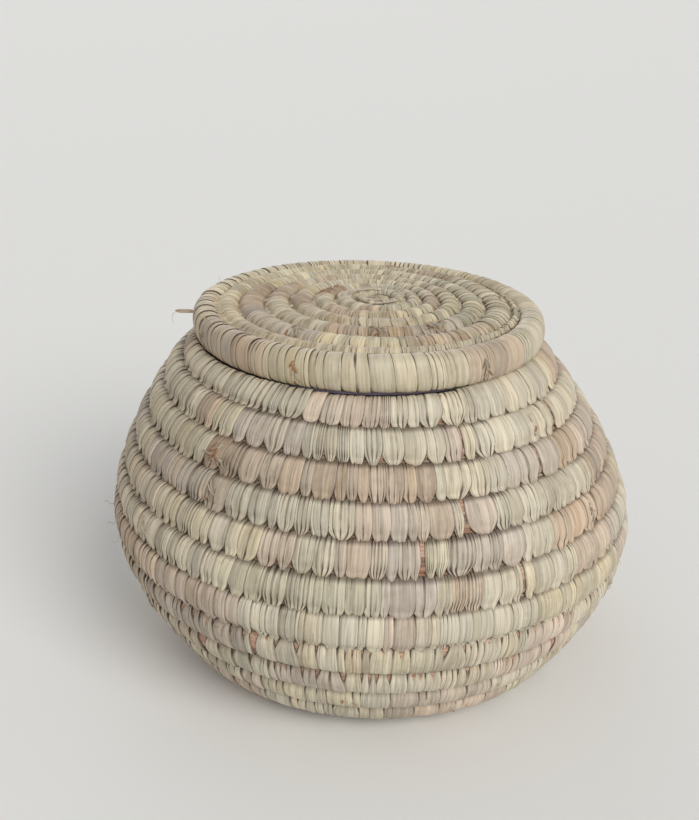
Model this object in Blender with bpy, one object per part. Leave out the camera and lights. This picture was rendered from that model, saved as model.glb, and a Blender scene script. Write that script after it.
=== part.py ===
"""Coiled rice basket: a bulging wall of wrapped fibre rope, a cloth lining and a lift-off coiled lid.

Every piece is first laid out round an upright axis, with the front at -Y. A point is then settled: the
basket leans a little to its left and its mouth dips towards the back, as the hand-made one does.
"""

import math

import bmesh
import bpy
import numpy as np

# Wall, measured at the middle of its thickness
BELLY_RADIUS = 0.1718
BELLY_HEIGHT = 0.0985
MOUTH_RADIUS = 0.1100
MOUTH_HEIGHT = 0.2205
FOOT_RADIUS = 0.1335
FOOT_HEIGHT = 0.0170
WALL_THICKNESS = 0.0190

# Base, a flat disc of the same rope that the basket stands on
BASE_THICKNESS = 0.0150
KNOT_RADIUS = 0.0130

# Spacing of the turns of rope
MOUTH_TURN = 0.0217
FOOT_TURN = 0.0215
BASE_TURN = 0.0190
TURN_GAP = 0.0007
JOINT_GAP = 0.0003

# Cloth lining and its hem over the mouth
LINING_THICKNESS = 0.0020
LINING_GAP = 0.0006
HEM_DROP = 0.0100
HEM_REACH = 0.0040
HEM_CHAMFER = 0.0010

# Lid: a domed disc of rope, a fat turn round it and a ring below that drops into the mouth
LID_OVERHANG = 0.0073
LID_RIM_WIDTH = 0.0180
LID_RIM_HEIGHT = 0.0225
LID_THICKNESS = 0.0140
LID_DISC_RISE = 0.0005
LID_DOME = 0.0045
LID_EDGE_TURN = 0.0196
LID_START_TURN = 0.0105
LID_KNOT_RADIUS = 0.0070
LID_OFFSET = 0.0030
KNOT_DRIFT = 0.0090
LOCATOR_WIDTH = 0.0120
LOCATOR_DEPTH = 0.0210
LOCATOR_CLEARANCE = 0.0020

# How the finished basket stands
LEAN_SHARE = -0.039
MOUTH_TILT = math.radians(4.0)
LOW_SIDE = math.radians(160.0)

# Curve of the wall above and below the belly, and how fast the lid's turns lose the drift of its knot
SHOULDER_POWER = 1.63
FOOT_POWER = 1.66
DRIFT_POWER = 2.5

# The rope's lengths down the wall, each with the number of turns from the mouth where it is spliced on
WALL_LENGTHS = (("shoulder_coil", 4), ("upper_belly_coil", 6), ("lower_belly_coil", 8))
LOWEST_LENGTH = "foot_coil"
SPLICE_SHARE = 0.35

# Where each rope ends, as a share of a turn from the front, and how thin it gets there
ROPE_END_SHARE = 0.15
LID_END_SHARE = 0.60
TIP_SHARE = 0.12

# Top of a knot, as shares of its radius and of the rope's thickness
KNOT_TOP_SHARE = 0.75
KNOT_SHOULDER_SHARE = 0.75

SHARP_ANGLE = math.radians(40.0)
SEGMENTS = 24
ROPE_SIDES = 6
RIM_SIDES = 8
PROFILE_STEPS = 240
LINING_STEPS = 13

PALM = ("palm_leaf", (0.62, 0.56, 0.42), 0.62)
PALM_BASE = ("palm_leaf_base", (0.50, 0.42, 0.30), 0.68)
PALM_RIM = ("palm_leaf_rim", (0.66, 0.60, 0.45), 0.58)
CLOTH = ("dark_cloth", (0.075, 0.065, 0.085), 0.85)
CORE = ("fibre_core", (0.36, 0.20, 0.12), 0.75)


class Profile:
    """A curve in the radius and height plane, read by the length along it from its start."""

    def __init__(self, points):
        self.points = np.array(points)
        steps = np.linalg.norm(np.diff(self.points, axis=0), axis=1)
        self.lengths = np.concatenate([[0.0], np.cumsum(steps)])
        self.total = self.lengths[-1]

    def at(self, length):
        """Point of the curve at a length."""
        return np.array([np.interp(length, self.lengths, self.points[:, axis]) for axis in (0, 1)])

    def frame(self, length):
        """Point, unit tangent and unit outward normal at a length."""
        reach = self.total / PROFILE_STEPS
        tangent = self.at(min(length + reach, self.total)) - self.at(max(length - reach, 0.0))
        tangent /= np.linalg.norm(tangent)
        return self.at(length), tangent, np.array([tangent[1], -tangent[0]])


def body_profile():
    """Middle of the rope from the base's centre, out along the floor, round the foot and up to the mouth."""
    rise = BELLY_HEIGHT - FOOT_HEIGHT
    spread = BELLY_RADIUS - FOOT_RADIUS
    foot_angle = math.atan2(rise, spread * FOOT_POWER)
    start_height = BASE_THICKNESS / 2
    bend_radius = (FOOT_HEIGHT - start_height) / (1 - math.cos(foot_angle))
    flat_end = FOOT_RADIUS - bend_radius * math.sin(foot_angle)
    points = []
    for share in np.linspace(0, 1, PROFILE_STEPS // 4, endpoint=False):
        points.append((flat_end * share, start_height))
    for angle in np.linspace(0, foot_angle, PROFILE_STEPS // 8, endpoint=False):
        points.append((flat_end + bend_radius * math.sin(angle),
                       start_height + bend_radius * (1 - math.cos(angle))))
    for share in np.linspace(0, 1, PROFILE_STEPS // 2, endpoint=False):
        points.append((BELLY_RADIUS - spread * (1 - share) ** FOOT_POWER, FOOT_HEIGHT + rise * share))
    for share in np.linspace(0, 1, PROFILE_STEPS // 2):
        points.append((BELLY_RADIUS - (BELLY_RADIUS - MOUTH_RADIUS) * share ** SHOULDER_POWER,
                       BELLY_HEIGHT + (MOUTH_HEIGHT - BELLY_HEIGHT) * share))
    return Profile(points), flat_end


def lid_profile(disc_radius, edge_height):
    """Middle of the lid's rope, from the centre of the dome down to the disc's edge."""
    shares = np.linspace(0, 1, PROFILE_STEPS)
    return Profile([(disc_radius * share, edge_height + LID_DOME * (1 - share ** 2)) for share in shares])


def unit_corners(sides):
    """Corners of a regular polygon with upright sides, stretched to fill a square from -1 to 1."""
    turned = math.tau * (np.arange(sides) + 0.5) / sides
    corners = np.column_stack([np.cos(turned), np.sin(turned)])
    return corners / corners.max(axis=0)


def on_axis(radius):
    """No sideways shift at any radius."""
    return 0.0


def lid_shift(disc_radius):
    """Sideways shift of the lid by its radius: its offset and, near the middle, the drift of its knot."""
    return lambda radius: LID_OFFSET + KNOT_DRIFT * max(1 - radius / disc_radius, 0.0) ** DRIFT_POWER


def settle(radius, angle, height, shift=on_axis):
    """World place of a point at an angle from the front, once the basket leans and its mouth tilts."""
    x = radius * math.sin(angle) + shift(radius)
    y = -radius * math.cos(angle)
    towards_low_side = x * math.sin(LOW_SIDE) - y * math.cos(LOW_SIDE)
    dip = math.tan(MOUTH_TILT) * towards_low_side * height / MOUTH_HEIGHT
    return x + LEAN_SHARE * height, y, height - dip


class Winding:
    """Rope wound in one unbroken coil along a profile, from a knot outwards.

    The groove under the rope lies a whole turn further from the edge than the groove over it, and both stop
    at the profile's edge and at the knot, so that the rope tapers away at its two ends.
    """

    def __init__(self, profile, inner, spacing, thickness, end_share, hand):
        lengths = np.linspace(inner, profile.total, PROFILE_STEPS * 4)
        spaces = np.array([spacing(length) for length in lengths])
        steps = np.diff(lengths) / ((spaces[1:] + spaces[:-1]) / 2)
        turns_in = np.concatenate([[0.0], np.cumsum(steps)])
        self.profile = profile
        self.spacing = spacing
        self.thickness = thickness
        self.turns = turns_in[-1]
        self.turns_from_edge = (self.turns - turns_in)[::-1]
        self.lengths = lengths[::-1]
        self.end_share = end_share
        self.hand = hand

    def groove(self, turn):
        """Length along the profile of the groove that is a number of turns from the edge."""
        return float(np.interp(turn, self.turns_from_edge, self.lengths))

    def section(self, turn, angle_shift=0.0):
        """Corners of the rope, flat inside, outside and on the floor, and the share of a turn it fills."""
        over, under = self.groove(turn - 1), self.groove(turn)
        middle = (over + under) / 2
        point, tangent, normal = self.profile.frame(middle)
        share = min((over - under) / self.spacing(middle), 1.0)
        half_height = (over - under - TURN_GAP) / 2
        half_depth = self.thickness(middle) / 2 * math.sqrt(share)
        angle = self.hand * math.tau * (turn + self.end_share) + angle_shift
        corners = []
        for across, along in unit_corners(ROPE_SIDES):
            radius, height = point + normal * half_depth * across + tangent * half_height * along
            corners.append((radius, angle, max(height, 0.0)))
        return corners, share

    def rings(self):
        """The rope's sections from its end at the edge to its start at the knot, at whole steps round."""
        found = []
        first = math.ceil(self.end_share * SEGMENTS)
        for step in range(first, int((self.turns + 2) * SEGMENTS)):
            turn = step / SEGMENTS - self.end_share
            if turn - 1 >= self.turns:
                break
            corners, share = self.section(turn)
            if share >= TIP_SHARE:
                found.append((turn, corners))
        return found


def least_gap(rings, shift=on_axis):
    """Smallest gap between each settled section and the one a turn on, over points along their sides."""
    def outline(corners):
        places = np.array([settle(*corner, shift) for corner in corners])
        ends = np.roll(places, -1, axis=0)
        shares = np.linspace(0, 1, SEGMENTS, endpoint=False)[:, None]
        return np.concatenate([start + (end - start) * shares for start, end in zip(places, ends)])

    least = math.inf
    for near, far in zip(rings, rings[SEGMENTS:]):
        apart = outline(near[1])[:, None] - outline(far[1])[None]
        least = min(least, float(np.linalg.norm(apart, axis=2).min()))
    return least


def make_material(finish):
    """Principled material with a finish's name, colour and roughness."""
    name, colour, roughness = finish
    material = bpy.data.materials.get(name)
    if material is None:
        material = bpy.data.materials.new(name)
        material.use_nodes = True
        shader = material.node_tree.nodes["Principled BSDF"]
        shader.inputs["Base Color"].default_value = (*colour, 1.0)
        shader.inputs["Roughness"].default_value = roughness
        shader.inputs["Metallic"].default_value = 0.0
    return material


def finish_object(name, mesh_data, finish):
    """Object with a bmesh's faces turned outwards, shaded smooth between its sharp edges."""
    bmesh.ops.recalc_face_normals(mesh_data, faces=mesh_data.faces)
    mesh = bpy.data.meshes.new(name)
    mesh_data.to_mesh(mesh)
    mesh_data.free()
    mesh.materials.append(make_material(finish))
    mesh.shade_smooth()
    mesh.set_sharp_from_angle(angle=SHARP_ANGLE)
    thing = bpy.data.objects.new(name, mesh)
    bpy.context.collection.objects.link(thing)
    return thing


def swept_rope(name, sections, finish, shift=on_axis):
    """One closed tube through a run of sections, with a flat cap at each end."""
    work = bmesh.new()
    rows = [[work.verts.new(settle(*corner, shift)) for corner in corners] for corners in sections]
    for near, far in zip(rows, rows[1:]):
        for side in range(ROPE_SIDES):
            after = (side + 1) % ROPE_SIDES
            work.faces.new((near[side], near[after], far[after], far[side]))
    work.faces.new(rows[0])
    work.faces.new(rows[-1])
    return finish_object(name, work, finish)


def turned_rows(work, outline, shift):
    """Rows of an outline's corners at whole steps round the axis."""
    rows = []
    for step in range(SEGMENTS):
        angle = math.tau * step / SEGMENTS
        rows.append([work.verts.new(settle(radius, angle, height, shift)) for radius, height in outline])
    return rows


def turned_ring(name, outline, finish, shift=on_axis):
    """Closed ring from an outline in the radius and height plane, carried once round the axis."""
    work = bmesh.new()
    rows = turned_rows(work, outline, shift)
    for near, far in zip(rows, rows[1:] + rows[:1]):
        for place in range(len(outline)):
            after = (place + 1) % len(outline)
            work.faces.new((near[place], near[after], far[after], far[place]))
    return finish_object(name, work, finish)


def turned_solid(name, outline, finish, shift=on_axis):
    """Closed solid from an outline that starts and ends on the axis."""
    work = bmesh.new()
    low = work.verts.new(settle(0.0, 0.0, outline[0][1], shift))
    high = work.verts.new(settle(0.0, 0.0, outline[-1][1], shift))
    rows = turned_rows(work, outline[1:-1], shift)
    for near, far in zip(rows, rows[1:] + rows[:1]):
        work.faces.new((low, far[0], near[0]))
        work.faces.new((high, near[-1], far[-1]))
        for place in range(len(outline) - 3):
            work.faces.new((near[place], far[place], far[place + 1], near[place + 1]))
    return finish_object(name, work, finish)


def make_knot(name, hole_radius, low, thickness, finish, shift=on_axis):
    """Round plug that fills the middle of a coil, drawn in a little at its top."""
    edge = hole_radius - JOINT_GAP
    outline = [(0.0, low), (edge, low), (edge, low + thickness * KNOT_SHOULDER_SHARE),
               (edge * KNOT_TOP_SHARE, low + thickness), (0.0, low + thickness)]
    return turned_solid(name, outline, finish, shift)


def body_thickness(flat_end, turn):
    """Thickness of the rope along the body: the base's, growing over the foot's turn to the wall's."""
    places = [flat_end, flat_end + turn]
    return lambda length: float(np.interp(length, places, [BASE_THICKNESS, WALL_THICKNESS]))


def body_spacing(flat_end, total):
    """Spacing of the turns along the body: even on the base, then closing up from the foot to the mouth."""
    places = [flat_end - BASE_TURN, flat_end, total]
    return lambda length: float(np.interp(length, places, [BASE_TURN, FOOT_TURN, MOUTH_TURN]))


def lid_spacing(total):
    """Spacing of the lid's turns: close at the knot and wider towards the rim."""
    return lambda length: float(np.interp(length, [LID_KNOT_RADIUS, total], [LID_START_TURN, LID_EDGE_TURN]))


def make_body_rope(profile, flat_end):
    """The rope's lengths down the wall and the base coil, flat on the floor, spliced end to end."""
    winding = Winding(profile, KNOT_RADIUS, body_spacing(flat_end, profile.total),
                      body_thickness(flat_end, FOOT_TURN), ROPE_END_SHARE, 1)
    rings = winding.rings()
    print(f"least gap of the body's coil to itself: {least_gap(rings) * 1000:.2f} mm")
    flat_turn = next(turn for turn, _ in rings
                     if (winding.groove(turn) + winding.groove(turn - 1)) / 2 < flat_end)
    lengths = [(name, turns + SPLICE_SHARE) for name, turns in WALL_LENGTHS] + [(LOWEST_LENGTH, flat_turn)]
    start = 0
    first = []
    for name, end_turn in lengths:
        stop = min(range(len(rings)), key=lambda place: abs(rings[place][0] - end_turn))
        turn = rings[stop][0]
        half_cut = JOINT_GAP / 2 / profile.at(winding.groove(turn))[0]
        run = [corners for _, corners in rings[start:stop]]
        swept_rope(name, first + run + [winding.section(turn, -half_cut)[0]], PALM)
        first = [winding.section(turn, half_cut)[0]]
        start = stop + 1
    swept_rope("base_coil", first + [corners for _, corners in rings[start:]], PALM_BASE)
    make_knot("base_knot", KNOT_RADIUS, 0.0, BASE_THICKNESS, PALM_BASE)
    print(f"turns of the body's coil: {winding.turns:.2f}")


def make_lining(profile, thickness):
    """Cloth cup inside the rope, and the hem over the mouth; returns the hem's height and clear radius."""
    def inside(length, extra):
        point, _, normal = profile.frame(length)
        return tuple(point - normal * (thickness(length) / 2 + LINING_GAP + extra))

    lengths = np.linspace(0, profile.total - HEM_DROP - JOINT_GAP, LINING_STEPS)[1:]
    outer = [inside(length, 0.0) for length in lengths]
    inner = [inside(length, LINING_THICKNESS) for length in lengths]
    bottom = inside(0.0, 0.0)[1]
    turned_solid("lining", [(0.0, bottom)] + outer + inner[::-1] + [(0.0, bottom + LINING_THICKNESS)], CLOTH)

    point, tangent, normal = profile.frame(profile.total)
    leg = WALL_THICKNESS / 2 + LINING_GAP
    over, top = TURN_GAP, TURN_GAP + LINING_THICKNESS
    shape = [(-leg, over), (HEM_REACH, over), (HEM_REACH, top - HEM_CHAMFER), (HEM_REACH - HEM_CHAMFER, top),
             (-leg - LINING_THICKNESS + HEM_CHAMFER, top), (-leg - LINING_THICKNESS, top - HEM_CHAMFER)]
    hem = [tuple(point + normal * across + tangent * along) for across, along in shape]
    hem += [inside(profile.total - HEM_DROP, LINING_THICKNESS), inside(profile.total - HEM_DROP, 0.0)]
    turned_ring("lining_hem", hem, CLOTH)
    return max(height for _, height in hem), min(radius for radius, _ in hem)


def make_lid(hem_top, mouth_clear):
    """The lid's knot, spiral disc, fat rim turn and locating ring, seated on the hem."""
    rim_low = hem_top + JOINT_GAP
    rim_middle = rim_low + LID_RIM_HEIGHT / 2
    rim_radius = MOUTH_RADIUS + LID_OVERHANG - LID_RIM_WIDTH / 2
    disc_radius = rim_radius - LID_RIM_WIDTH / 2 - JOINT_GAP
    rim = [(rim_radius + LID_RIM_WIDTH / 2 * across, rim_middle + LID_RIM_HEIGHT / 2 * along)
           for across, along in unit_corners(RIM_SIDES)]
    shift = lid_shift(disc_radius)
    pieces = [turned_ring("lid_rim", rim, PALM_RIM, shift)]

    edge_height = rim_low + LID_RIM_HEIGHT + LID_DISC_RISE - LID_THICKNESS / 2
    profile = lid_profile(disc_radius, edge_height)
    winding = Winding(profile, LID_KNOT_RADIUS, lid_spacing(profile.total), lambda length: LID_THICKNESS,
                      LID_END_SHARE, -1)
    rings = winding.rings()
    print(f"least gap of the lid's coil to itself: {least_gap(rings, shift) * 1000:.2f} mm")
    print(f"turns of the lid's coil: {winding.turns:.2f}")
    pieces.append(swept_rope("lid_coil", [corners for _, corners in rings], PALM, shift))
    knot_low = profile.at(0.0)[1] - LID_THICKNESS / 2
    pieces.append(make_knot("lid_knot", LID_KNOT_RADIUS, knot_low, LID_THICKNESS, CORE, shift))

    far = mouth_clear - abs(LID_OFFSET) - LOCATOR_CLEARANCE
    near = far - LOCATOR_WIDTH
    far_top, near_top = (profile.at(radius)[1] - LID_THICKNESS / 2 - JOINT_GAP for radius in (far, near))
    low = far_top - LOCATOR_DEPTH
    locator = [(near, low), (far, low), (far, far_top), (near, near_top)]
    pieces.append(turned_ring("lid_locating_ring", locator, PALM_BASE, shift))
    return pieces, settle(0.0, 0.0, edge_height, lambda radius: LID_OFFSET)


def hang_from_axis(pieces, place):
    """Empty on the axis that the lid lifts along, with the lid's pieces parented to it."""
    axis = bpy.data.objects.new("lid_axis", None)
    axis.location = place
    bpy.context.collection.objects.link(axis)
    bpy.context.view_layer.update()
    for piece in pieces:
        piece.parent = axis
        piece.matrix_parent_inverse = axis.matrix_world.inverted()


def centre_over_floor():
    """Brings the middle of the basket's outline over the origin; returns where it was."""
    solids = [thing for thing in bpy.data.objects if thing.type == "MESH"]
    places = np.array([corner.co[:] for thing in solids for corner in thing.data.vertices])
    middle = (places.min(axis=0) + places.max(axis=0)) / 2
    for thing in solids:
        for corner in thing.data.vertices:
            corner.co.x -= middle[0]
            corner.co.y -= middle[1]
    print(f"axis of the base stands at {-middle[0]:.5f} {-middle[1]:.5f}, height {places[:, 2].max():.4f}")
    return middle


def main():
    """Clears the scene and builds the basket."""
    for thing in list(bpy.data.objects):
        bpy.data.objects.remove(thing, do_unlink=True)
    profile, flat_end = body_profile()
    make_body_rope(profile, flat_end)
    hem_top, mouth_clear = make_lining(profile, body_thickness(flat_end, FOOT_TURN))
    lid_pieces, lid_place = make_lid(hem_top, mouth_clear)
    middle = centre_over_floor()
    hang_from_axis(lid_pieces, (lid_place[0] - middle[0], lid_place[1] - middle[1], lid_place[2]))


main()
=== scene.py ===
"""Looks of the coiled rice basket: leaf wrapping, fibre core, cloth lining, frayed ends and a plain studio.

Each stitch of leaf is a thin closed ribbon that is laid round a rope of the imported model. A place on a rope
is given by its turn, which counts from the rope's end, by how far it lies along the wall from the rope's
middle, and by how far it stands out of the wall. The ropes turn those three numbers into world places.
"""

import logging
import math
from dataclasses import dataclass, field, replace
from enum import Enum
from typing import Callable, ClassVar

import bpy
import numpy as np
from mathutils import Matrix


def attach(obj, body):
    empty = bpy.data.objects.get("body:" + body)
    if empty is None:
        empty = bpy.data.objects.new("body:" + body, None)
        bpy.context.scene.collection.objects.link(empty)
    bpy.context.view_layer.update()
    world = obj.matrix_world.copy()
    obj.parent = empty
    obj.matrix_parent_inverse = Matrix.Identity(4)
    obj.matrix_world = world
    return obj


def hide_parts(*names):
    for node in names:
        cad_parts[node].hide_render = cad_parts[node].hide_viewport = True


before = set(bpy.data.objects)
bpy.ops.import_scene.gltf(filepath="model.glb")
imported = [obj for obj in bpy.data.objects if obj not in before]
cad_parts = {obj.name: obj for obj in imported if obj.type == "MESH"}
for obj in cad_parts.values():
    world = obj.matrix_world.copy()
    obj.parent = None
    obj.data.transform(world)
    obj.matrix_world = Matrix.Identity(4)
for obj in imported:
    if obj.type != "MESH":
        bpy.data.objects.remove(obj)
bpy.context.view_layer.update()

log = logging.getLogger("rice_basket")
Array = np.ndarray

MM = 0.001
COLUMNS = 13
TIP_ROWS = 6
BAKE_MAP = "OFBake"
SCREEN_GAMMA = 2.2
NARROWEST = 3.2 * MM
WIDEST = 17 * MM
LEAST_OPENING = 3.0 * MM
STITCHES_PER_TURN = 9
MOST_FOLDS = 12
THINNEST_CORE = 0.4 * MM
GROOVE_FILL = 1.9 * MM
GROOVE_LEVEL = 0.36
GROOVE_ROUND = 0.2
SLIM_SPREAD = 0.35


class Hue(Enum):
    """Colours of the dried leaf, fibre and cloth, and of the painted shade and highlight, as screen red,
    green and blue from 0 to 255.
    """

    CREAM = (201, 193, 172)
    COOL = (198, 191, 171)
    GREEN = (195, 188, 165)
    YELLOW = (202, 193, 168)
    BEIGE = (196, 185, 164)
    PINK = (196, 181, 163)
    TAN = (187, 170, 150)
    ORANGE = (196, 175, 151)
    LILAC = (187, 177, 163)
    BROWN = (172, 153, 133)
    # light colour of the painted highlight beside the strip edges
    PAINTED_HIGHLIGHT = (232, 226, 202)
    # dark brown of the leaf's edges and creases, also used for the painted shade between strips and under the
    # tips
    SEAM_AND_SHADE = (58, 40, 29)
    FIBRE = (230, 194, 170)
    FIBRE_DARK = (168, 116, 92)
    # brown of cracks and torn strands, also used for the painted shade deep in the grooves
    STAIN_AND_SHADE = (120, 82, 52)
    RUST = (166, 122, 86)
    CLOTH = (64, 56, 72)
    CLOTH_LIGHT = (126, 114, 134)

    @property
    def linear(self) -> tuple[float, float, float]:
        """The colour in linear light."""
        return tuple(float((part / 255) ** SCREEN_GAMMA) for part in self.value)

    @property
    def paint(self) -> tuple[float, float, float, float]:
        """The colour in linear light, opaque."""
        return (*self.linear, 1.0)


class Profile:
    """A curve in the radius and height plane, read by the length along it from its start."""

    STEPS = 240

    def __init__(self, points: list[tuple[float, float]]) -> None:
        """Args:
            points: radius and height of the curve's points, from its start.
        """
        self.points = np.array(points)
        legs = np.linalg.norm(np.diff(self.points, axis=0), axis=1)
        self.lengths = np.concatenate([[0.0], np.cumsum(legs)])
        self.total = float(self.lengths[-1])

    def at(self, length: Array) -> Array:
        """Points of the curve at some lengths, straight on past its end."""
        inside = np.stack([np.interp(length, self.lengths, self.points[:, axis]) for axis in (0, 1)],
                          axis=-1)
        last_leg = (self.points[-1] - self.points[-2]) / (self.lengths[-1] - self.lengths[-2])
        return inside + np.maximum(length - self.total, 0.0)[..., None] * last_leg

    def frame(self, length: Array) -> tuple[Array, Array]:
        """Points and unit normals of the curve.

        Args:
            length: lengths along the curve.

        Returns:
            The points, and the normals that point away from the curve's right-hand side.
        """
        reach = self.total / self.STEPS
        tangent = self.at(length + reach) - self.at(np.maximum(length - reach, 0.0))
        tangent = tangent / np.linalg.norm(tangent, axis=-1, keepdims=True)
        return self.at(length), np.stack([tangent[..., 1], -tangent[..., 0]], axis=-1)


@dataclass(frozen=True)
class Stance:
    """How the finished basket stands: where its axis meets the floor, its lean and the tilt of its mouth."""

    axis_x: float
    axis_y: float
    lean_share: float = -0.039
    mouth_tilt: float = math.radians(4.0)
    low_side: float = math.radians(160.0)
    mouth_height: float = 0.2205

    @classmethod
    def of_frame(cls) -> "Stance":
        """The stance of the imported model, read from the foot of the base's knot."""
        corners = packed_corners("base_knot")
        foot = corners[corners[:, 2] < corners[:, 2].min() + 0.01 * MM]
        return cls(float(np.unique(foot[:, 0].round(6)).mean()), float(foot[:, 1].mean()))

    def place(self, radius: Array, angle: Array, height: Array, shift: Array) -> Array:
        """World places of points that are given round an upright axis.

        Args:
            radius: distances from the axis.
            angle: angles from the front, growing to the right.
            height: heights over the floor.
            shift: how far the points are moved to the right.

        Returns:
            World places in metres.
        """
        x = radius * np.sin(angle) + shift
        y = -radius * np.cos(angle)
        towards_low = x * math.sin(self.low_side) - y * math.cos(self.low_side)
        dip = math.tan(self.mouth_tilt) * towards_low * height / self.mouth_height
        return np.stack([x + self.lean_share * height + self.axis_x, y + self.axis_y, height - dip], axis=-1)


@dataclass(frozen=True)
class Rope:
    """A rope that is wound along a profile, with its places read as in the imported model."""

    stance: Stance
    profile: Profile
    inner: float
    spacing: Callable[[Array], Array]
    thickness: Callable[[Array], Array]
    end_share: float
    hand: int
    face: int = 1
    section: float = 2.3
    shift: Callable[[Array], Array] = staticmethod(lambda radius: 0.0 * radius)
    floor_gap: float = 0.1 * MM
    thinning: float = 0.5
    table: dict = field(default_factory=dict)

    def __post_init__(self) -> None:
        """Works out how many turns from its end each length of the profile lies."""
        lengths = np.linspace(self.inner, self.profile.total, Profile.STEPS * 4)
        spaces = self.spacing(lengths)
        turns_in = np.concatenate([[0.0], np.cumsum(np.diff(lengths) / ((spaces[1:] + spaces[:-1]) / 2))])
        self.table["turns"] = (turns_in[-1] - turns_in)[::-1]
        self.table["lengths"] = lengths[::-1]

    @property
    def turns(self) -> float:
        """Number of turns in the winding."""
        return float(self.table["turns"][-1])

    def band(self, turn: Array) -> tuple[Array, Array, Array]:
        """Middle, half height and half depth of the rope.

        Args:
            turn: turns from the rope's end.

        Returns:
            Lengths along the profile, and the two half sizes of the rope there.
        """
        over = np.interp(turn - 1, self.table["turns"], self.table["lengths"])
        under = np.interp(turn, self.table["turns"], self.table["lengths"])
        middle = (over + under) / 2
        share = np.minimum((over - under) / self.spacing(middle), 1.0)
        return middle, (over - under) / 2, self.thickness(middle) / 2 * share ** self.thinning

    def radius(self, turn: Array) -> Array:
        """Distances of the rope's middle from the axis."""
        return np.maximum(self.profile.at(self.band(turn)[0])[..., 0], self.inner / 2)

    def angle(self, turn: Array) -> Array:
        """Angles of the turns from the front."""
        return self.hand * math.tau * (turn + self.end_share)

    def turn_at(self, row: int, degrees: Array) -> Array:
        """Turns of places that are given by row from the top and degrees from the front."""
        return row - self.end_share + self.hand * np.asarray(degrees) / 360.0

    def row_and_degrees(self, turn: float) -> tuple[int, float]:
        """Row from the top and degrees from the front of a turn."""
        row = round(turn + self.end_share)
        return row, self.hand * 360.0 * (turn + self.end_share - row)

    def world(self, turn: Array, along: Array, out: Array) -> Array:
        """World places of points on or near the rope.

        Args:
            turn: turns from the rope's end.
            along: distances from the rope's middle along the profile, away from the stitches' tips.
            out: distances from the rope's middle towards its visible face.

        Returns:
            World places in metres.
        """
        middle = self.band(turn)[0]
        point, normal = self.profile.frame(np.maximum(middle + self.face * along, 0.0))
        spot = point + normal * (self.face * out)[..., None]
        radius = np.maximum(spot[..., 0], 0.0)
        height = np.maximum(spot[..., 1], self.floor_gap)
        return self.stance.place(radius, self.angle(turn), height, self.shift(radius))


@dataclass(frozen=True)
class Hoop:
    """A rope that closes on itself in one level ring. It is read like a wound rope."""

    stance: Stance
    middle_radius: float
    middle_height: float
    half_width: float
    half_height: float
    shift: Callable[[Array], Array]
    section: float = 2.3

    def band(self, turn: Array) -> tuple[Array, Array, Array]:
        """Middle, half height and half depth of the hoop, the same all round."""
        same = np.ones_like(turn)
        return 0 * same, self.half_height * same, self.half_width * same

    def radius(self, turn: Array) -> Array:
        """Distances of the hoop's middle from the axis."""
        return self.middle_radius * np.ones_like(turn)

    def turn_at(self, row: int, degrees: Array) -> Array:
        """Turns of places that are given by degrees from the front."""
        return np.asarray(degrees) / 360.0

    def row_and_degrees(self, turn: float) -> tuple[int, float]:
        """Row, always 0, and degrees from the front of a turn."""
        return 0, 360.0 * (turn - round(turn))

    def world(self, turn: Array, along: Array, out: Array) -> Array:
        """World places of points given by turn, height from the middle and distance outwards."""
        radius = self.middle_radius + out
        return self.stance.place(radius, math.tau * turn, self.middle_height + along, self.shift(radius))


def power(base: Array, exponent: float) -> Array:
    """Power that keeps the sign of its base."""
    return np.sign(base) * np.abs(base) ** exponent


def smooth(value: Array) -> Array:
    """Smooth step from 0 to 1 over values from 0 to 1."""
    value = np.clip(value, 0.0, 1.0)
    return value * value * (3 - 2 * value)


def stacked(shape: tuple[int, ...], *parts: "Array | float") -> Array:
    """Parts that are spread over one shape and stacked along a new last axis."""
    return np.stack([np.broadcast_to(part, shape) for part in parts], axis=-1)


def packed_corners(node: str) -> Array:
    """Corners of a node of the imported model."""
    return np.array([corner.co[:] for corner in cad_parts[node].data.vertices])


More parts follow.
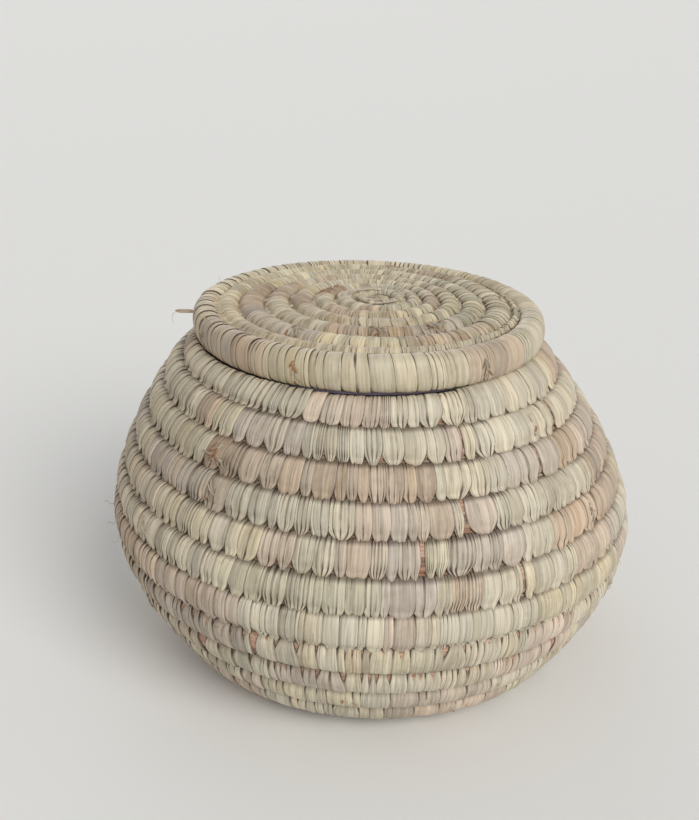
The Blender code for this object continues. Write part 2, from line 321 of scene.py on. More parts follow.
class TubeMesh:
    """Closed tubes of one kind that are gathered into one mesh, with their attributes and a bake map."""

    def __init__(self, *tubes: tuple[Array, dict[str, Array]]) -> None:
        """Args:
            tubes: rings and attributes of the first tubes.
        """
        self.batches: list[tuple[Array, dict[str, Array], int]] = [(rings, marks, 1) for rings,
                                                                   marks in tubes]

    def add(self, rings: Array, marks: dict[str, Array], rows: int = 1) -> None:
        """Adds tubes that have the same counts.

        Args:
            rings: world places, by tube, ring along the tube and point round the ring.
            marks: attribute values by name, by tube, ring, point and part.
            rows: number of pieces that each tube is cut into on the bake map.
        """
        self.batches.append((rings, marks, rows))

    @staticmethod
    def _bake_cells(tubes: int, rings: int, around: int, rows: int, first: int, total: int) -> Array:
        """Places on the bake map of the corners of each side face and then of each cap."""
        across = max(1, math.ceil(math.sqrt(total * 3)))
        down = math.ceil(total / across)
        span = math.ceil((rings - 1) / rows)
        tube, ring, point = np.meshgrid(np.arange(tubes), np.arange(rings - 1), np.arange(around),
                                        indexing="ij")
        cell = first + tube * rows + ring // span
        steps = np.array([(0, 0), (0, 1), (1, 1), (1, 0)])
        u = (point[..., None] + steps[:, 1]) / around
        v = ((ring % span)[..., None] + steps[:, 0]) / span
        left, low = cell % across, cell // across
        sides = np.stack([(left[..., None] + 0.05 + 0.9 * u) / across,
                          (low[..., None] + 0.08 + 0.84 * v) / down], -1)
        turned = math.tau * np.arange(around) / around
        cap = np.stack([0.5 + 0.02 * np.cos(turned), 0.04 + 0.02 * np.sin(turned)], axis=-1)
        own = first + np.arange(tubes)[:, None, None] * rows
        corner = np.stack([own % across, own // across], axis=-1)
        caps = (corner + cap[None, None]) / np.array([across, down])
        caps = np.concatenate([caps, caps + np.array([0.0, 0.92 / down])], axis=1)
        return np.concatenate([sides.reshape(tubes, -1, 2), caps.reshape(tubes, -1, 2)],
                              axis=1).reshape(-1, 2)

    def build(self, name: str) -> bpy.types.Object:
        """Makes the object.

        Args:
            name: the object's name.

        Returns:
            The new object, linked to the scene.
        """
        places, corners, starts, cells, marks = [], [], [], [], {}
        base = corner_count = first = 0
        total = sum(rings.shape[0] * rows for rings, _, rows in self.batches)
        for rings, values, rows in self.batches:
            tubes, count, around = rings.shape[:3]
            point = np.arange(around)
            after = (point + 1) % around
            near = np.arange(count - 1)[:, None] * around
            quads = np.stack([near + point, near + after, near + around + after, near + around + point],
                             axis=-1)
            caps = np.stack([point[::-1], (count - 1) * around + point])
            one = np.concatenate([quads.reshape(-1), caps.reshape(-1)])
            sizes = np.concatenate([np.full((count - 1) * around, 4), np.full(2, around)])
            shifts = base + np.arange(tubes) * count * around
            corners.append((one[None] + shifts[:, None]).reshape(-1))
            run = np.concatenate([[0], np.cumsum(sizes)[:-1]])
            starts.append((run[None] + corner_count + np.arange(tubes)[:, None] * sizes.sum()).reshape(-1))
            places.append(rings.reshape(-1, 3))
            cells.append(self._bake_cells(tubes, count, around, rows, first, total))
            for key, value in values.items():
                marks.setdefault(key, []).append(np.broadcast_to(value,
                                                                 (tubes, count, around, value.shape[-1])))
            base += tubes * count * around
            corner_count += tubes * int(sizes.sum())
            first += tubes * rows
        mesh = bpy.data.meshes.new(name)
        starts_all = np.concatenate(starts)
        mesh.vertices.add(base)
        mesh.loops.add(corner_count)
        mesh.polygons.add(len(starts_all))
        mesh.vertices.foreach_set("co", np.concatenate(places).astype(np.float32).reshape(-1))
        mesh.loops.foreach_set("vertex_index", np.concatenate(corners).astype(np.int32))
        mesh.polygons.foreach_set("loop_start", starts_all.astype(np.int32))
        mesh.update(calc_edges=True)
        for key, parts in marks.items():
            width = parts[0].shape[-1]
            kind = "FLOAT_COLOR" if width == 4 else "FLOAT_VECTOR"
            layer = mesh.attributes.new(key, kind, "POINT")
            flat = np.concatenate([part.reshape(-1, width) for part in parts]).astype(np.float32)
            layer.data.foreach_set("color" if width == 4 else "vector", flat.reshape(-1))
        bake = mesh.uv_layers.new(name=BAKE_MAP)
        bake.uv.foreach_set("vector", np.concatenate(cells).astype(np.float32).reshape(-1))
        mesh.shade_smooth()
        mesh.set_sharp_from_angle(angle=math.radians(50.0))
        thing = bpy.data.objects.new(name, mesh)
        bpy.context.scene.collection.objects.link(thing)
        return thing


@dataclass(frozen=True)
class StitchStyle:
    """How one kind of stitch lies on its rope. Lengths are in metres and angles in radians."""

    start: float = math.radians(112.0)
    leave: float = math.radians(-44.0)
    reach: float = 3.4 * MM
    reach_spread: float = 0.7 * MM
    fork: float = 0.5 * MM
    dive: float = 1.0 * MM
    tip_share: float = 0.18
    tip_power: float = 3.0
    tip_spread: float = 0.34
    taper_from: float = -0.28
    top_share: float = 0.90
    top_from: float = 0.30
    lobes: tuple[int, ...] = (1, 1, 1, 1, 2, 2, 3)
    notch_rows: float = 2.0
    round_rows: float = 0.8
    sink: float = 6.0 * MM
    width: float = 11.5 * MM
    width_spread: float = 2.4 * MM
    narrow: float = 6.0 * MM
    narrow_chance: float = 0.26
    overlap: float = 1.2
    shingle: float = 0.75 * MM
    camber: float = 0.75 * MM
    pleat: float = 0.44 * MM
    pleats: tuple[int, ...] = (1, 2, 2, 3, 3, 4, 6)
    skew: float = -0.9 * MM
    skew_spread: float = 0.6 * MM
    loose: float = 0.25 * MM
    sheet: float = 0.32 * MM
    outward: float = 0.15 * MM
    scatter: float = 0.10 * MM
    # painted shadow that the tips of the row above lay on the top of each stitch, from 0 to 1
    tip_shadow: float = 1.0
    swell: float = 0.0
    swell_at: float = math.radians(62.0)


@dataclass
class Stitches:
    """A run of stitches on one rope: one number of each kind for each stitch."""

    turn: Array
    width: Array
    hue: Array
    style: list[StitchStyle]

    def part(self, chosen: Array) -> "Stitches":
        """The stitches that a mask picks."""
        return Stitches(self.turn[chosen], self.width[chosen], self.hue[chosen],
                        [style for style, kept in zip(self.style, chosen) if kept])

    def each(self, name: str) -> Array:
        """One value of the style for each stitch, ready to spread over its rows and columns."""
        return np.array([getattr(style, name) for style in self.style])[:, None, None]


@dataclass
class StitchPath:
    """Lines of a run of stitches: place along and out of the rope's wall, and the surface's angle."""

    along: Array
    out: Array
    turned: Array
    past: Array

    def cut_back(self, rows: Array, first: int) -> "StitchPath":
        """The same lines, one for each column, with every column's end drawn back by its own number of rows.

        Args:
            rows: how far each column's end is drawn back.
            first: row where the change begins.

        Returns:
            The lines by stitch, row and column.
        """
        last = self.along.shape[1] - 1
        row = np.arange(last + 1.0)[None, :, None]
        row = row - rows * smooth((row - first) / (last - first))
        low = np.clip(np.floor(row).astype(int), 0, last - 1)
        part = row - low
        return StitchPath(*(np.take_along_axis(line, low, axis=1) * (1 - part)
                            + np.take_along_axis(line, low + 1, axis=1) * part
                            for line in (self.along, self.out, self.turned, self.past)))


class StitchLayer:
    """Turns a run of stitches into closed ribbons round a rope."""

    WOBBLE = math.radians(3.0)
    TIP_TURN = math.radians(8.0)
    LONGEST_REACH = 1.2 * MM
    DRIFT = 0.5 * MM
    DRAWN_IN = 0.35
    UNEVEN = 0.10
    ONE_POINT_WIDTH = 7.0 * MM
    FEW_FOLDS_WIDTH = 5.5 * MM
    SWELL_WIDTH = math.radians(26.0)
    UNDERSIDE_GAP = 0.1 * MM

    def __init__(self, rope: "Rope | Hoop", seed: int, wrap_rows: int = 10) -> None:
        """Args:
            rope: the rope that the stitches go round.
            seed: start of the layer's random draws.
            wrap_rows: rows of points over the part that hugs the rope.
        """
        self.rope = rope
        self.draw = np.random.default_rng(seed)
        self.wrap_rows = wrap_rows

    def _path(self, run: Stitches, high: Array, deep: Array) -> StitchPath:
        """Middle line of each stitch round the rope's section and out to its tip.

        Args:
            run: the stitches.
            high: half height of the rope at each stitch.
            deep: half depth of the rope at each stitch.

        Returns:
            The middle lines, by stitch and row.
        """
        count = len(run.turn)
        share = np.linspace(0, 1, self.wrap_rows)[None, :, None]
        rest = np.linspace(0, 1, TIP_ROWS + 1)[None, 1:, None]
        closed = run.each("leave") < -math.pi / 2
        wobble = self.WOBBLE * self.draw.normal(size=(count, 1, 1)) * ~closed
        turned = run.each("start") + (run.each("leave") + wobble - run.each("start")) * share
        section = self.rope.section
        along = high * power(np.sin(turned), 2 / section)
        out = deep * power(np.cos(turned), 2 / section)
        reach = run.each("reach") + run.each("reach_spread") * self.draw.normal(size=(count, 1, 1))
        reach = np.minimum(reach, 0.5 * high + self.LONGEST_REACH)
        rise = 1 - np.clip(1 - reach / high, 0, 1) ** section
        end = np.concatenate([-high - reach, deep * np.maximum(rise, 0.0) ** (1 / section)], axis=-1)
        line = np.concatenate([along, out], axis=-1)
        leap = line[:, -1:] - line[:, -2:-1]
        leap = leap / np.linalg.norm(leap, axis=-1, keepdims=True)
        far = np.linalg.norm(end - line[:, -1:], axis=-1, keepdims=True)
        bend = line[:, -1:] + leap * far * 0.4
        tip = line[:, -1:] * (1 - rest) ** 2 + bend * 2 * rest * (1 - rest) + end * rest ** 2
        tip_turned = turned[:, -1:] + (self.TIP_TURN - turned[:, -1:]) * smooth(rest)
        on = turned[:, -1:] + (run.each("start") - math.tau - turned[:, -1:]) * rest * 0.9
        loop = high * power(np.sin(on), 2 / section), deep * power(np.cos(on), 2 / section)
        loop = np.concatenate(loop, axis=-1)
        tip = np.where(closed, loop, tip)
        tip[..., 1:] -= np.where(closed, 0.0, run.each("dive") * rest ** 5)
        tip_turned = np.where(closed, on, tip_turned)
        past = np.concatenate([0 * share + 0 * closed, np.where(closed, 0.0, rest)], axis=1)
        return StitchPath(np.concatenate([along, tip[..., :1]], axis=1),
                          np.concatenate([out, tip[..., 1:]], axis=1),
                          np.concatenate([turned, tip_turned], axis=1), past)

    def _wander(self, count: int, window: int = 7) -> Array:
        """Numbers of about unit size that change slowly from stitch to stitch."""
        weights = np.hanning(2 * window + 3)[1:-1]
        rough = self.draw.normal(size=count + 2 * window)
        return (np.convolve(rough, weights, mode="valid") / math.sqrt((weights ** 2).sum()))[:, None, None]

    def _lobes(self, run: Stitches, u: Array) -> tuple[Array, Array, Array]:
        """Points that the lower end of each stitch is gathered into.

        Args:
            run: the stitches.
            u: places across, from -1 to 1.

        Returns:
            Number of points of each stitch, place of the point that each column belongs to, and each
            column's place within its point, from -1 to 1.
        """
        number = np.array([style.lobes[self.draw.integers(len(style.lobes))] for style in run.style])
        number = np.where(run.width < self.ONE_POINT_WIDTH, 1, number)[:, None, None]
        which = np.minimum(np.floor((u + 1) / 2 * number + 1e-6), number - 1)
        middle = (which + 0.5) / number * 2 - 1
        return number, middle, (u - middle) * number

    def _folds(self, run: Stitches, u: Array) -> tuple[Array, Array, Array]:
        """Pleats of each stitch.

        Args:
            run: the stitches.
            u: places across, from -1 to 1.

        Returns:
            Height of the folds from 0 to 1, how near each place is to a crease, and how far each fold's own
            tip reaches, from -1 to 1.
        """
        counts = np.array([style.pleats[self.draw.integers(len(style.pleats))] for style in run.style])
        counts = np.where(run.width < self.FEW_FOLDS_WIDTH, np.minimum(counts, 2), counts)[:, None, None]
        place = (u + 1) / 2 * counts
        number = np.minimum(np.floor(place + 1e-6), counts - 1).astype(int)
        within = np.clip(place - number, 0.0, 1.0)
        strength = self.draw.uniform(0.25, 1.0, size=(len(run.turn), 1, MOST_FOLDS))
        length = self.draw.uniform(-1.0, 1.0, size=(len(run.turn), 1, MOST_FOLDS))
        level = np.take_along_axis(strength, number, axis=-1)
        height = within ** 0.8 * level
        at_fold = np.abs(place - np.round(place)) < 1e-6
        inner = at_fold & (np.abs(u) < 0.999)
        crease = np.where(np.abs(u) > 0.999, 1.0, np.where(inner, 0.15 + 0.6 * level, 0.0))
        return height, crease, np.take_along_axis(length, number, axis=-1)

    @staticmethod
    def _with_underside(part: "Array | StitchPath") -> "Array | StitchPath":
        """Columns with the two edge columns repeated at the end, in reverse, for the underside."""
        if isinstance(part, StitchPath):
            return StitchPath(*(np.concatenate([line, line[..., [-1, 0]]], axis=-1)
                                for line in (part.along, part.out, part.turned, part.past)))
        return np.concatenate([part, part[..., [-1, 0]]], axis=-1)

    def ribbons(self, run: Stitches) -> tuple[Array, dict[str, Array]]:
        """Closed ribbons for a run of stitches.

        Args:
            run: the stitches.

        Returns:
            Rings of world places, and the attributes that the leaf finish reads.
        """
        count = len(run.turn)
        _, high, deep = (part[:, None, None] for part in self.rope.band(run.turn))
        u = np.linspace(-1, 1, COLUMNS)[None, None]
        fold, crease, own_reach = self._folds(run, u)
        lobes, middle, within = self._lobes(run, u)
        between = (np.abs(within) > 0.999) & (np.abs(u) < 0.999)
        depth_of_cut = self.draw.uniform(0.4, 1.2, size=(count, 1, COLUMNS))
        rounded = run.each("round_rows") * np.abs(within) ** 3
        cut = np.where(between, run.each("notch_rows") * depth_of_cut, rounded)
        cut = np.where(run.each("leave") < -math.pi / 2, 0.0, cut)
        path = self._path(run, high, deep).cut_back(cut, self.wrap_rows - 3)

        low_edge = -high - run.each("reach")
        taper_top = run.each("taper_from") * high
        share = np.clip((taper_top - path.along) / (taper_top - low_edge), 0, 1)
        share = np.where(np.cos(path.turned) > -0.2, share, 0.0)
        sharpness = np.exp(run.each("tip_spread") * self.draw.normal(size=(count, 1, 1)))
        sharpness = run.each("tip_power") * sharpness
        taper = run.each("tip_share") + (1 - run.each("tip_share")) * (1 - share ** sharpness)
        top = np.clip((path.along / high - run.each("top_from")) / (1.0 - run.each("top_from")), 0, 1)
        top = np.where(path.turned > math.pi / 2, 1.0, top)
        gathered = (1 - run.each("top_share")) * self.draw.uniform(0.3, 1.3, size=(count, 1, 1)) * top ** 1.3
        half = run.width[:, None, None] / 2 * run.each("overlap")
        lean = run.each("skew") + run.each("skew_spread") * self._wander(count)
        lean = lean + run.each("loose") * self.draw.normal(size=(count, 1, 1))
        drift = 0.7 * self._wander(count, 3) + 0.7 * self.draw.normal(size=(count, 1, 1))
        drift = self.DRIFT * drift * share
        uneven = self.UNEVEN * self.draw.normal(size=(count, 1, 1)) * (1 - u ** 2)
        closer = 1 - self.DRAWN_IN * share ** 2
        pulled = middle * closer + within / lobes * taper * (1 - gathered)
        pulled = np.where(between, u * closer, pulled)
        climb = 0.5 * path.along / high + np.minimum.accumulate(path.turned, axis=1) / math.pi
        side = half * (pulled + uneven * taper) - lean * climb + drift

        depth = run.each("pleat") * (0.3 + 0.5 * top + 0.8 * share)
        bow = -run.each("camber") * (0.8 * np.abs(u) ** 5 + 1.0 * share * np.abs(within) ** 2.4)
        bow = bow - np.where(between, run.each("sink") * gathered, 0.0)
        lift = run.each("shingle") * (u + 1) / 2 * (1 - 0.6 * share)
        noise = run.each("scatter") * self.draw.normal(size=(count, 1, 1))
        from_swell = (path.turned - run.each("swell_at")) / self.SWELL_WIDTH
        swell = run.each("swell") * np.exp(-from_swell ** 2)
        extra = run.each("outward") + bow + lift + depth * (fold - 0.5) + noise + swell
        along = path.along - run.each("fork") * own_reach * path.past ** 1.5 * (0.4 + 0.6 * np.abs(u))
        lowest = extra.min(axis=-1, keepdims=True) + self.UNDERSIDE_GAP
        under = np.minimum(extra[..., [-1, 0]], lowest) - run.each("sheet")
        extra = np.concatenate([extra, under], axis=-1)
        path, side, along, share = (self._with_underside(part) for part in (path, side, along, share))

        turn = run.turn[:, None, None] + side / (math.tau * self.rope.radius(run.turn)[:, None, None])
        shape = turn.shape
        spot_along = np.broadcast_to(along + extra * np.sin(path.turned), shape)
        spot_out = np.broadcast_to(path.out + extra * np.cos(path.turned), shape)
        rings = self.rope.world(turn, spot_along, spot_out)

        steps = np.hypot(np.diff(path.along, axis=1), np.diff(path.out, axis=1))
        length = np.concatenate([0 * steps[:, :1], np.cumsum(steps, axis=1)], axis=1)
        across = np.concatenate([u, u[..., [-1, 0]]], axis=-1)
        own = self.draw.uniform(0, 100, size=(count, 1, 1))
        leaf = stacked(shape, across * half / MM, length / MM, own)
        depth_in = np.clip(np.abs(path.along) / high, 0, 1.4)
        line = np.concatenate([crease, np.ones((count, 1, 2))], axis=-1)
        spot = stacked(shape, line, share, depth_in)
        # Painted shadow: the top of each row is darkened where the tips of the row above lie on it; the
        # tint's alpha carries it.
        tip_line = 1 - run.each("reach") / high
        shaded = run.each("tip_shadow") * smooth((path.along / high - tip_line) / 0.07 + 0.5)
        shaded = np.where((run.each("leave") < -math.pi / 2) | (path.turned < 0), 0.0, shaded)
        hue = np.broadcast_to(run.hue[:, None, None], (*shape, 3))
        tint = np.concatenate([hue, np.broadcast_to(1 - shaded, shape)[..., None]], axis=-1)
        return rings, {"leaf": leaf, "spot": spot, "tint": tint}


@dataclass(frozen=True)
class Bunch:
    """A bunch of leaf of one colour, by row from the top and by degrees from the front."""

    row: int
    start: float
    end: float
    hue: Hue


class HueChart:
    """Chooses the colour of each stitch: by bunches where they show, and by seeded runs elsewhere."""

    RUN_DEGREES = (8.0, 34.0)
    MIXED_CHANCE = 0.08
    LEVEL_SPREAD = 0.06
    WARMTH_SPREAD = 0.018
    COOLEST = -0.012
    BLUE_LOSS = 1.6
    # Painted shade on the left side: stitches between these degrees are darkened and made warmer, most at the
    # middle degree.
    SHADED_SIDE = (-120.0, -74.0, -30.0)
    SIDE_SHADE = 0.12
    SIDE_WARMTH = 0.06

    def __init__(self, bunches: list[Bunch], common: dict[Hue, float], seed: int) -> None:
        """Args:
            bunches: the bunches that show.
            common: colours of the other runs, with their weights.
            seed: start of the random draws.
        """
        self.bunches = bunches
        self.hues = list(common)
        weights = np.array([common[hue] for hue in self.hues])
        self.weights = weights / weights.sum()
        self.draw = np.random.default_rng(seed)
        self.left = 0.0
        self.current = self.hues[0]

    def pick(self, row: int, degrees: float, span: float) -> Array:
        """Linear colour of a stitch.

        Args:
            row: row from the top.
            degrees: degrees from the front.
            span: degrees that the stitch covers.

        Returns:
            Red, green and blue, a little off the named colour.
        """
        found = [bunch.hue for bunch in self.bunches
                 if bunch.row == row and bunch.start <= degrees < bunch.end]
        self.left -= span
        if self.left <= 0:
            self.left = self.draw.uniform(*self.RUN_DEGREES)
            self.current = self.hues[self.draw.choice(len(self.hues), p=self.weights)]
        colour = np.array((found[0] if found else self.current).linear)
        if self.draw.uniform() < self.MIXED_CHANCE:
            other = self.hues[self.draw.choice(len(self.hues), p=self.weights)]
            colour = (colour + np.array(other.linear)) / 2
        level = 1 + self.LEVEL_SPREAD * self.draw.normal()
        warmth = max(self.WARMTH_SPREAD * self.draw.normal(), self.COOLEST)
        # How far into the left side the stitch lies, for the painted shade and the warmer colour there.
        shaded_share = float(np.interp(degrees, self.SHADED_SIDE, (0.0, 1.0, 0.0)))
        shift = self.SIDE_WARMTH * shaded_share
        cast = np.array([1 + warmth + shift, 1.0, 1 - self.BLUE_LOSS * warmth - shift])
        return colour * (level - self.SIDE_SHADE * shaded_share) * cast


def lay_run(rope: "Rope | Hoop", first: float, last: float, style_at: Callable[[int, float], StitchStyle],
            chart: HueChart, seed: int, gaps: "tuple[tuple[int, float, float], ...]" = ()) -> Stitches:
    """Sets stitches side by side along a rope.

    Args:
        rope: the rope.
        first: turn to start from.
        last: turn to stop at.
        style_at: gives the style for a row and degrees from the front.
        chart: chooses the colours.
        seed: start of the random draws.
        gaps: row, degrees and width in degrees of places that are left open.

    Returns:
        The run of stitches.
    """
    draw = np.random.default_rng(seed)
    turns, widths, hues, styles = [], [], [], []
    ahead = list(gaps)
    turn = first
    while turn < last:
        row, degrees = rope.row_and_degrees(turn)
        style = style_at(row, degrees)
        girth = math.tau * float(rope.radius(np.array(turn)))
        slim = draw.uniform() < style.narrow_chance
        mean = style.narrow if slim else style.width
        spread = style.width_spread * (SLIM_SPREAD if slim else 1.0)
        width = float(np.clip(draw.normal(mean, spread), NARROWEST, WIDEST))
        width = min(width, girth / STITCHES_PER_TURN)
        span = 360.0 * width / girth
        hue = chart.pick(row, degrees, span)
        met = [gap for gap in ahead if gap[0] == row and degrees + span > gap[1] - gap[2] / 2]
        if met:
            width = (met[0][1] - met[0][2] / 2 - degrees) / 360.0 * girth
        if met and width < LEAST_OPENING:
            ahead.remove(met[0])
            turn += met[0][2] / 360.0
            continue
        turns.append(turn + width / girth / 2)
        widths.append(width)
        hues.append(hue)
        styles.append(style)
        turn += width / girth
    return Stitches(np.array(turns), np.array(widths), np.array(hues), styles)


def plain_marks(leaf: Array, hue: Hue) -> dict[str, Array]:
    """Attributes of one tube of a single colour, from its places on the leaf."""
    tint = np.broadcast_to(np.array(hue.paint), (*leaf.shape[:-1], 4))
    return {"leaf": leaf[None], "spot": np.zeros((1, *leaf.shape)), "tint": tint[None]}


def fibre_tube(mesh: TubeMesh, rope: "Rope | Hoop", first: float, last: float,
               section: Callable[[Array, Array, Array], tuple[Array, Array]], hue: Hue, pitch: float,
               per_turn: int, around: int, own: float = 0.0) -> None:
    """Adds a bundle of fibre that follows a rope to a mesh.

    Args:
        mesh: the mesh that takes the tube.
        rope: the rope.
        first: turn where the fibre starts.
        last: turn where it stops.
        section: gives the places along the wall and out of it, from the angle round the tube and from the
            rope's half height and half depth.
        hue: its colour.
        pitch: millimetres of the fibre's pattern for each radian round the tube.
        per_turn: rings for each turn.
        around: points round each ring.
        own: start of its pattern.
    """
    turn = np.linspace(first, last, max(4, int((last - first) * per_turn)))[:, None]
    _, high, deep = rope.band(turn)
    turned = math.tau * np.arange(around)[None] / around
    along, out = section(turned, high, deep)
    places = rope.world(np.broadcast_to(turn, along.shape), along, out)
    length = turn * math.tau * np.mean(rope.radius(turn)) / MM
    mesh.add(places[None], plain_marks(stacked(along.shape, turned * pitch, length, own), hue),
             rows=max(1, round(last - first)))


def core_tube(mesh: TubeMesh, rope: "Rope | Hoop", first: float, last: float, inset: float,
              per_turn: int = 60) -> None:
    """Adds the fibre core of a rope to a mesh.

    Args:
        mesh: the mesh that takes the tube.
        rope: the rope.
        first: turn where the core starts.
        last: turn where it stops.
        inset: how far it lies under the wrapping.
        per_turn: rings for each turn.
    """
    def section(turned: Array, high: Array, deep: Array) -> tuple[Array, Array]:
        rounding = 2 / (rope.section + 0.5)
        high, deep = np.maximum(high - inset, THINNEST_CORE), np.maximum(deep - inset, THINNEST_CORE)
        return high * power(np.sin(turned), rounding), deep * power(np.cos(turned), rounding)

    fibre_tube(mesh, rope, first, last, section, Hue.FIBRE, 8.0, per_turn, around=14)


def groove_tube(mesh: TubeMesh, rope: Rope, first: float, last: float) -> None:
    """Adds the fibre that fills the groove between a rope's turns to a mesh, from one turn to another."""
    def section(turned: Array, high: Array, deep: Array) -> tuple[Array, Array]:
        return -high + GROOVE_FILL * np.sin(turned), deep * (GROOVE_LEVEL + GROOVE_ROUND * np.cos(turned))

    fibre_tube(mesh, rope, first, last, section, Hue.ORANGE, 3.0, per_turn=60, around=8, own=1.0)


@dataclass(frozen=True)
class Shred:
    """A torn strand of leaf that lies on a rope or sticks out of it.

    Each point gives the distance to the side, along the wall and out from the rope's middle, in millimetres.
    """

    turn: float
    points: tuple[tuple[float, float, float], ...]
    width: float
    thickness: float
    hue: Hue
    twist: float = 0.0


def fray(rope: "Rope | Hoop", row: int, degrees: float, seed: int, count: int = 12, spread: float = 5.0,
         length: float = 7.0, sway: float = 0.9,
         hues: tuple[Hue, ...] = (Hue.CREAM, Hue.TAN, Hue.ORANGE, Hue.BROWN, Hue.BROWN,
                                  Hue.RUST)) -> list[Shred]:
    """A patch of torn leaf ends on a rope.

    Args:
        rope: the rope.
        row: row from the top.
        degrees: degrees from the front.
        seed: start of the random draws.
        count: number of strands.
        spread: half width of the patch in millimetres.
        length: mean length of a strand in millimetres.
        sway: how far the strands turn from the way of the stitches, in radians.
        hues: colours to draw from.

    Returns:
        The strands.
    """
    draw = np.random.default_rng(seed)
    turn = float(rope.turn_at(row, degrees))
    _, high, deep = (float(part) / MM for part in rope.band(np.array(turn)))
    shreds = []
    for _ in range(count):
        side, along = spread * draw.normal() * 0.6, high * draw.uniform(-0.75, 0.6)
        way = draw.normal(-math.pi / 2, sway)
        reach = length * draw.uniform(0.5, 1.4)
        points = []
        for share in np.linspace(0, 1, 5):
            spot = float(np.clip(along + math.sin(way) * reach * share, -0.97 * high, 0.97 * high))
            skin = deep * (1 - abs(spot / high) ** rope.section) ** (1 / rope.section)
            points.append((side + math.cos(way) * reach * share, spot,
                           skin + 0.6 + draw.uniform(0.0, 1.1) * math.sin(math.pi * share) + 0.2 * share))
        shreds.append(Shred(turn, tuple(points), draw.uniform(0.35, 1.3), 0.22,
                            hues[draw.integers(len(hues))],
                            draw.normal() * 0.4))
    return shreds


def add_shreds(mesh: TubeMesh, rope: "Rope | Hoop", shreds: list[Shred], rings: int = 14,
               around: int = 6) -> None:
    """Adds torn strands to a mesh as thin closed ribbons with drawn-out ends.

    Args:
        mesh: the mesh that takes them.
        rope: the rope that carries them.
        shreds: the strands.
        rings: rings along each strand.
        around: points round each ring.
    """
    share = np.linspace(0, 1, rings)
    turned = math.tau * np.arange(around) / around
    for shred in shreds:
        given = np.array(shred.points) * MM
        knots = np.linspace(0, 1, len(given))
        line = np.stack([np.interp(share, knots, given[:, axis]) for axis in range(3)], axis=-1)
        for _ in range(3):
            line[1:-1] = (line[:-2] + 2 * line[1:-1] + line[2:]) / 4
        tangent = np.gradient(line, axis=0)
        tangent /= np.linalg.norm(tangent, axis=-1, keepdims=True)
        flat = np.cross(tangent, (0.0, 0.0, 1.0)) + 1e-6
        flat /= np.linalg.norm(flat, axis=-1, keepdims=True)
        rise = np.cross(flat, tangent)
        angle = (shred.twist * share)[:, None]
        across, up = flat * np.cos(angle) + rise * np.sin(angle), rise * np.cos(angle) - flat * np.sin(angle)
        taper = (0.25 + 0.75 * np.minimum(1.0, 5.0 * np.minimum(share + 0.06, 1.04 - share)))[:, None, None]
        spots = (line[:, None] + across[:, None] * np.cos(turned)[None, :, None] * taper * shred.width / 2
                 * MM
                 + up[:, None] * np.sin(turned)[None, :, None] * taper * shred.thickness / 2 * MM)
        turn = shred.turn + spots[..., 0] / (math.tau * rope.radius(np.array(shred.turn)))
        places = rope.world(turn, spots[..., 1], spots[..., 2])
        leaf = stacked(turn.shape, np.cos(turned) * shred.width, share[:, None] * 12.0, shred.turn)
        mesh.add(places[None], plain_marks(leaf, shred.hue))


class Graph:
    """Adds and links shader nodes in one node tree."""

    def __init__(self, tree: bpy.types.NodeTree) -> None:
        self.tree = tree

    def node(self, kind: str, **settings: object) -> bpy.types.Node:
        """A new node with its settings."""
        made = self.tree.nodes.new(f"ShaderNode{kind}")
        for key, value in settings.items():
            setattr(made, key, value)
        return made

    def feed(self, socket: bpy.types.NodeSocket, value: object) -> None:
        """Links a socket to another, or sets its value."""
        if isinstance(value, bpy.types.NodeSocket):
            self.tree.links.new(value, socket)
        else:
            socket.default_value = value

    def math(self, operation: str, first: object, second: object = 0.0, clamp: bool = False) -> object:
        """Result of a Math node."""
        made = self.node("Math", operation=operation, use_clamp=clamp)
        self.feed(made.inputs[0], first)
        self.feed(made.inputs[1], second)
        return made.outputs[0]

    def vector(self, operation: str, first: object, second: object = (0.0, 0.0, 0.0)) -> object:
        """Vector result of a Vector Math node."""
        made = self.node("VectorMath", operation=operation)
        self.feed(made.inputs[0], first)
        self.feed(made.inputs[1], second)
        return made.outputs[0]

    def blend(self, factor: object, first: object, second: object, kind: str = "MIX") -> object:
        """Colour result of a Mix node."""
        made = self.node("Mix", data_type="RGBA", blend_type=kind)
        self.feed(made.inputs["Factor"], factor)
        self.feed(made.inputs[6], first)
        self.feed(made.inputs[7], second)
        return made.outputs[2]

    def noise(self, vector: object, scale: float, detail: float = 2.0, roughness: float = 0.5) -> object:
        """Value of a Noise Texture."""
        made = self.node("TexNoise")
        self.feed(made.inputs["Vector"], vector)
        self.feed(made.inputs["Scale"], scale)
        self.feed(made.inputs["Detail"], detail)
        self.feed(made.inputs["Roughness"], roughness)
        return made.outputs["Fac"]

    def spread(self, value: object, low: float, high: float, to_low: float = 0.0,
               to_high: float = 1.0) -> object:
        """A value mapped from one range to another, and held inside it."""
        made = self.node("MapRange", interpolation_type="SMOOTHSTEP")
        for socket, number in zip(made.inputs[:5], (value, low, high, to_low, to_high)):
            self.feed(socket, number)
        return made.outputs[0]

    def attribute(self, name: str) -> bpy.types.Node:
        """Attribute node of a name."""
        return self.node("Attribute", attribute_name=name)

    def group(self, tree: bpy.types.NodeTree, **values: object) -> bpy.types.Node:
        """Group node over a shared tree, with some of its inputs fed."""
        made = self.node("Group", node_tree=tree)
        for name, value in values.items():
            self.feed(made.inputs[name], value)
        return made

    def relief(self, shader: bpy.types.Node, height: object, distance: float) -> None:
        """Gives a shader's surface the relief of a height."""
        bump = self.node("Bump")
        self.feed(bump.inputs["Strength"], 1.0)
        self.feed(bump.inputs["Distance"], distance)
        self.feed(bump.inputs["Height"], height)
        self.feed(shader.inputs["Normal"], bump.outputs[0])


def start_material(name: str) -> tuple[bpy.types.Material, Graph, bpy.types.Node]:
    """A new material, with its graph and its shader."""
    material = bpy.data.materials.new(name)
    material.use_nodes = True
    return material, Graph(material.node_tree), material.node_tree.nodes["Principled BSDF"]


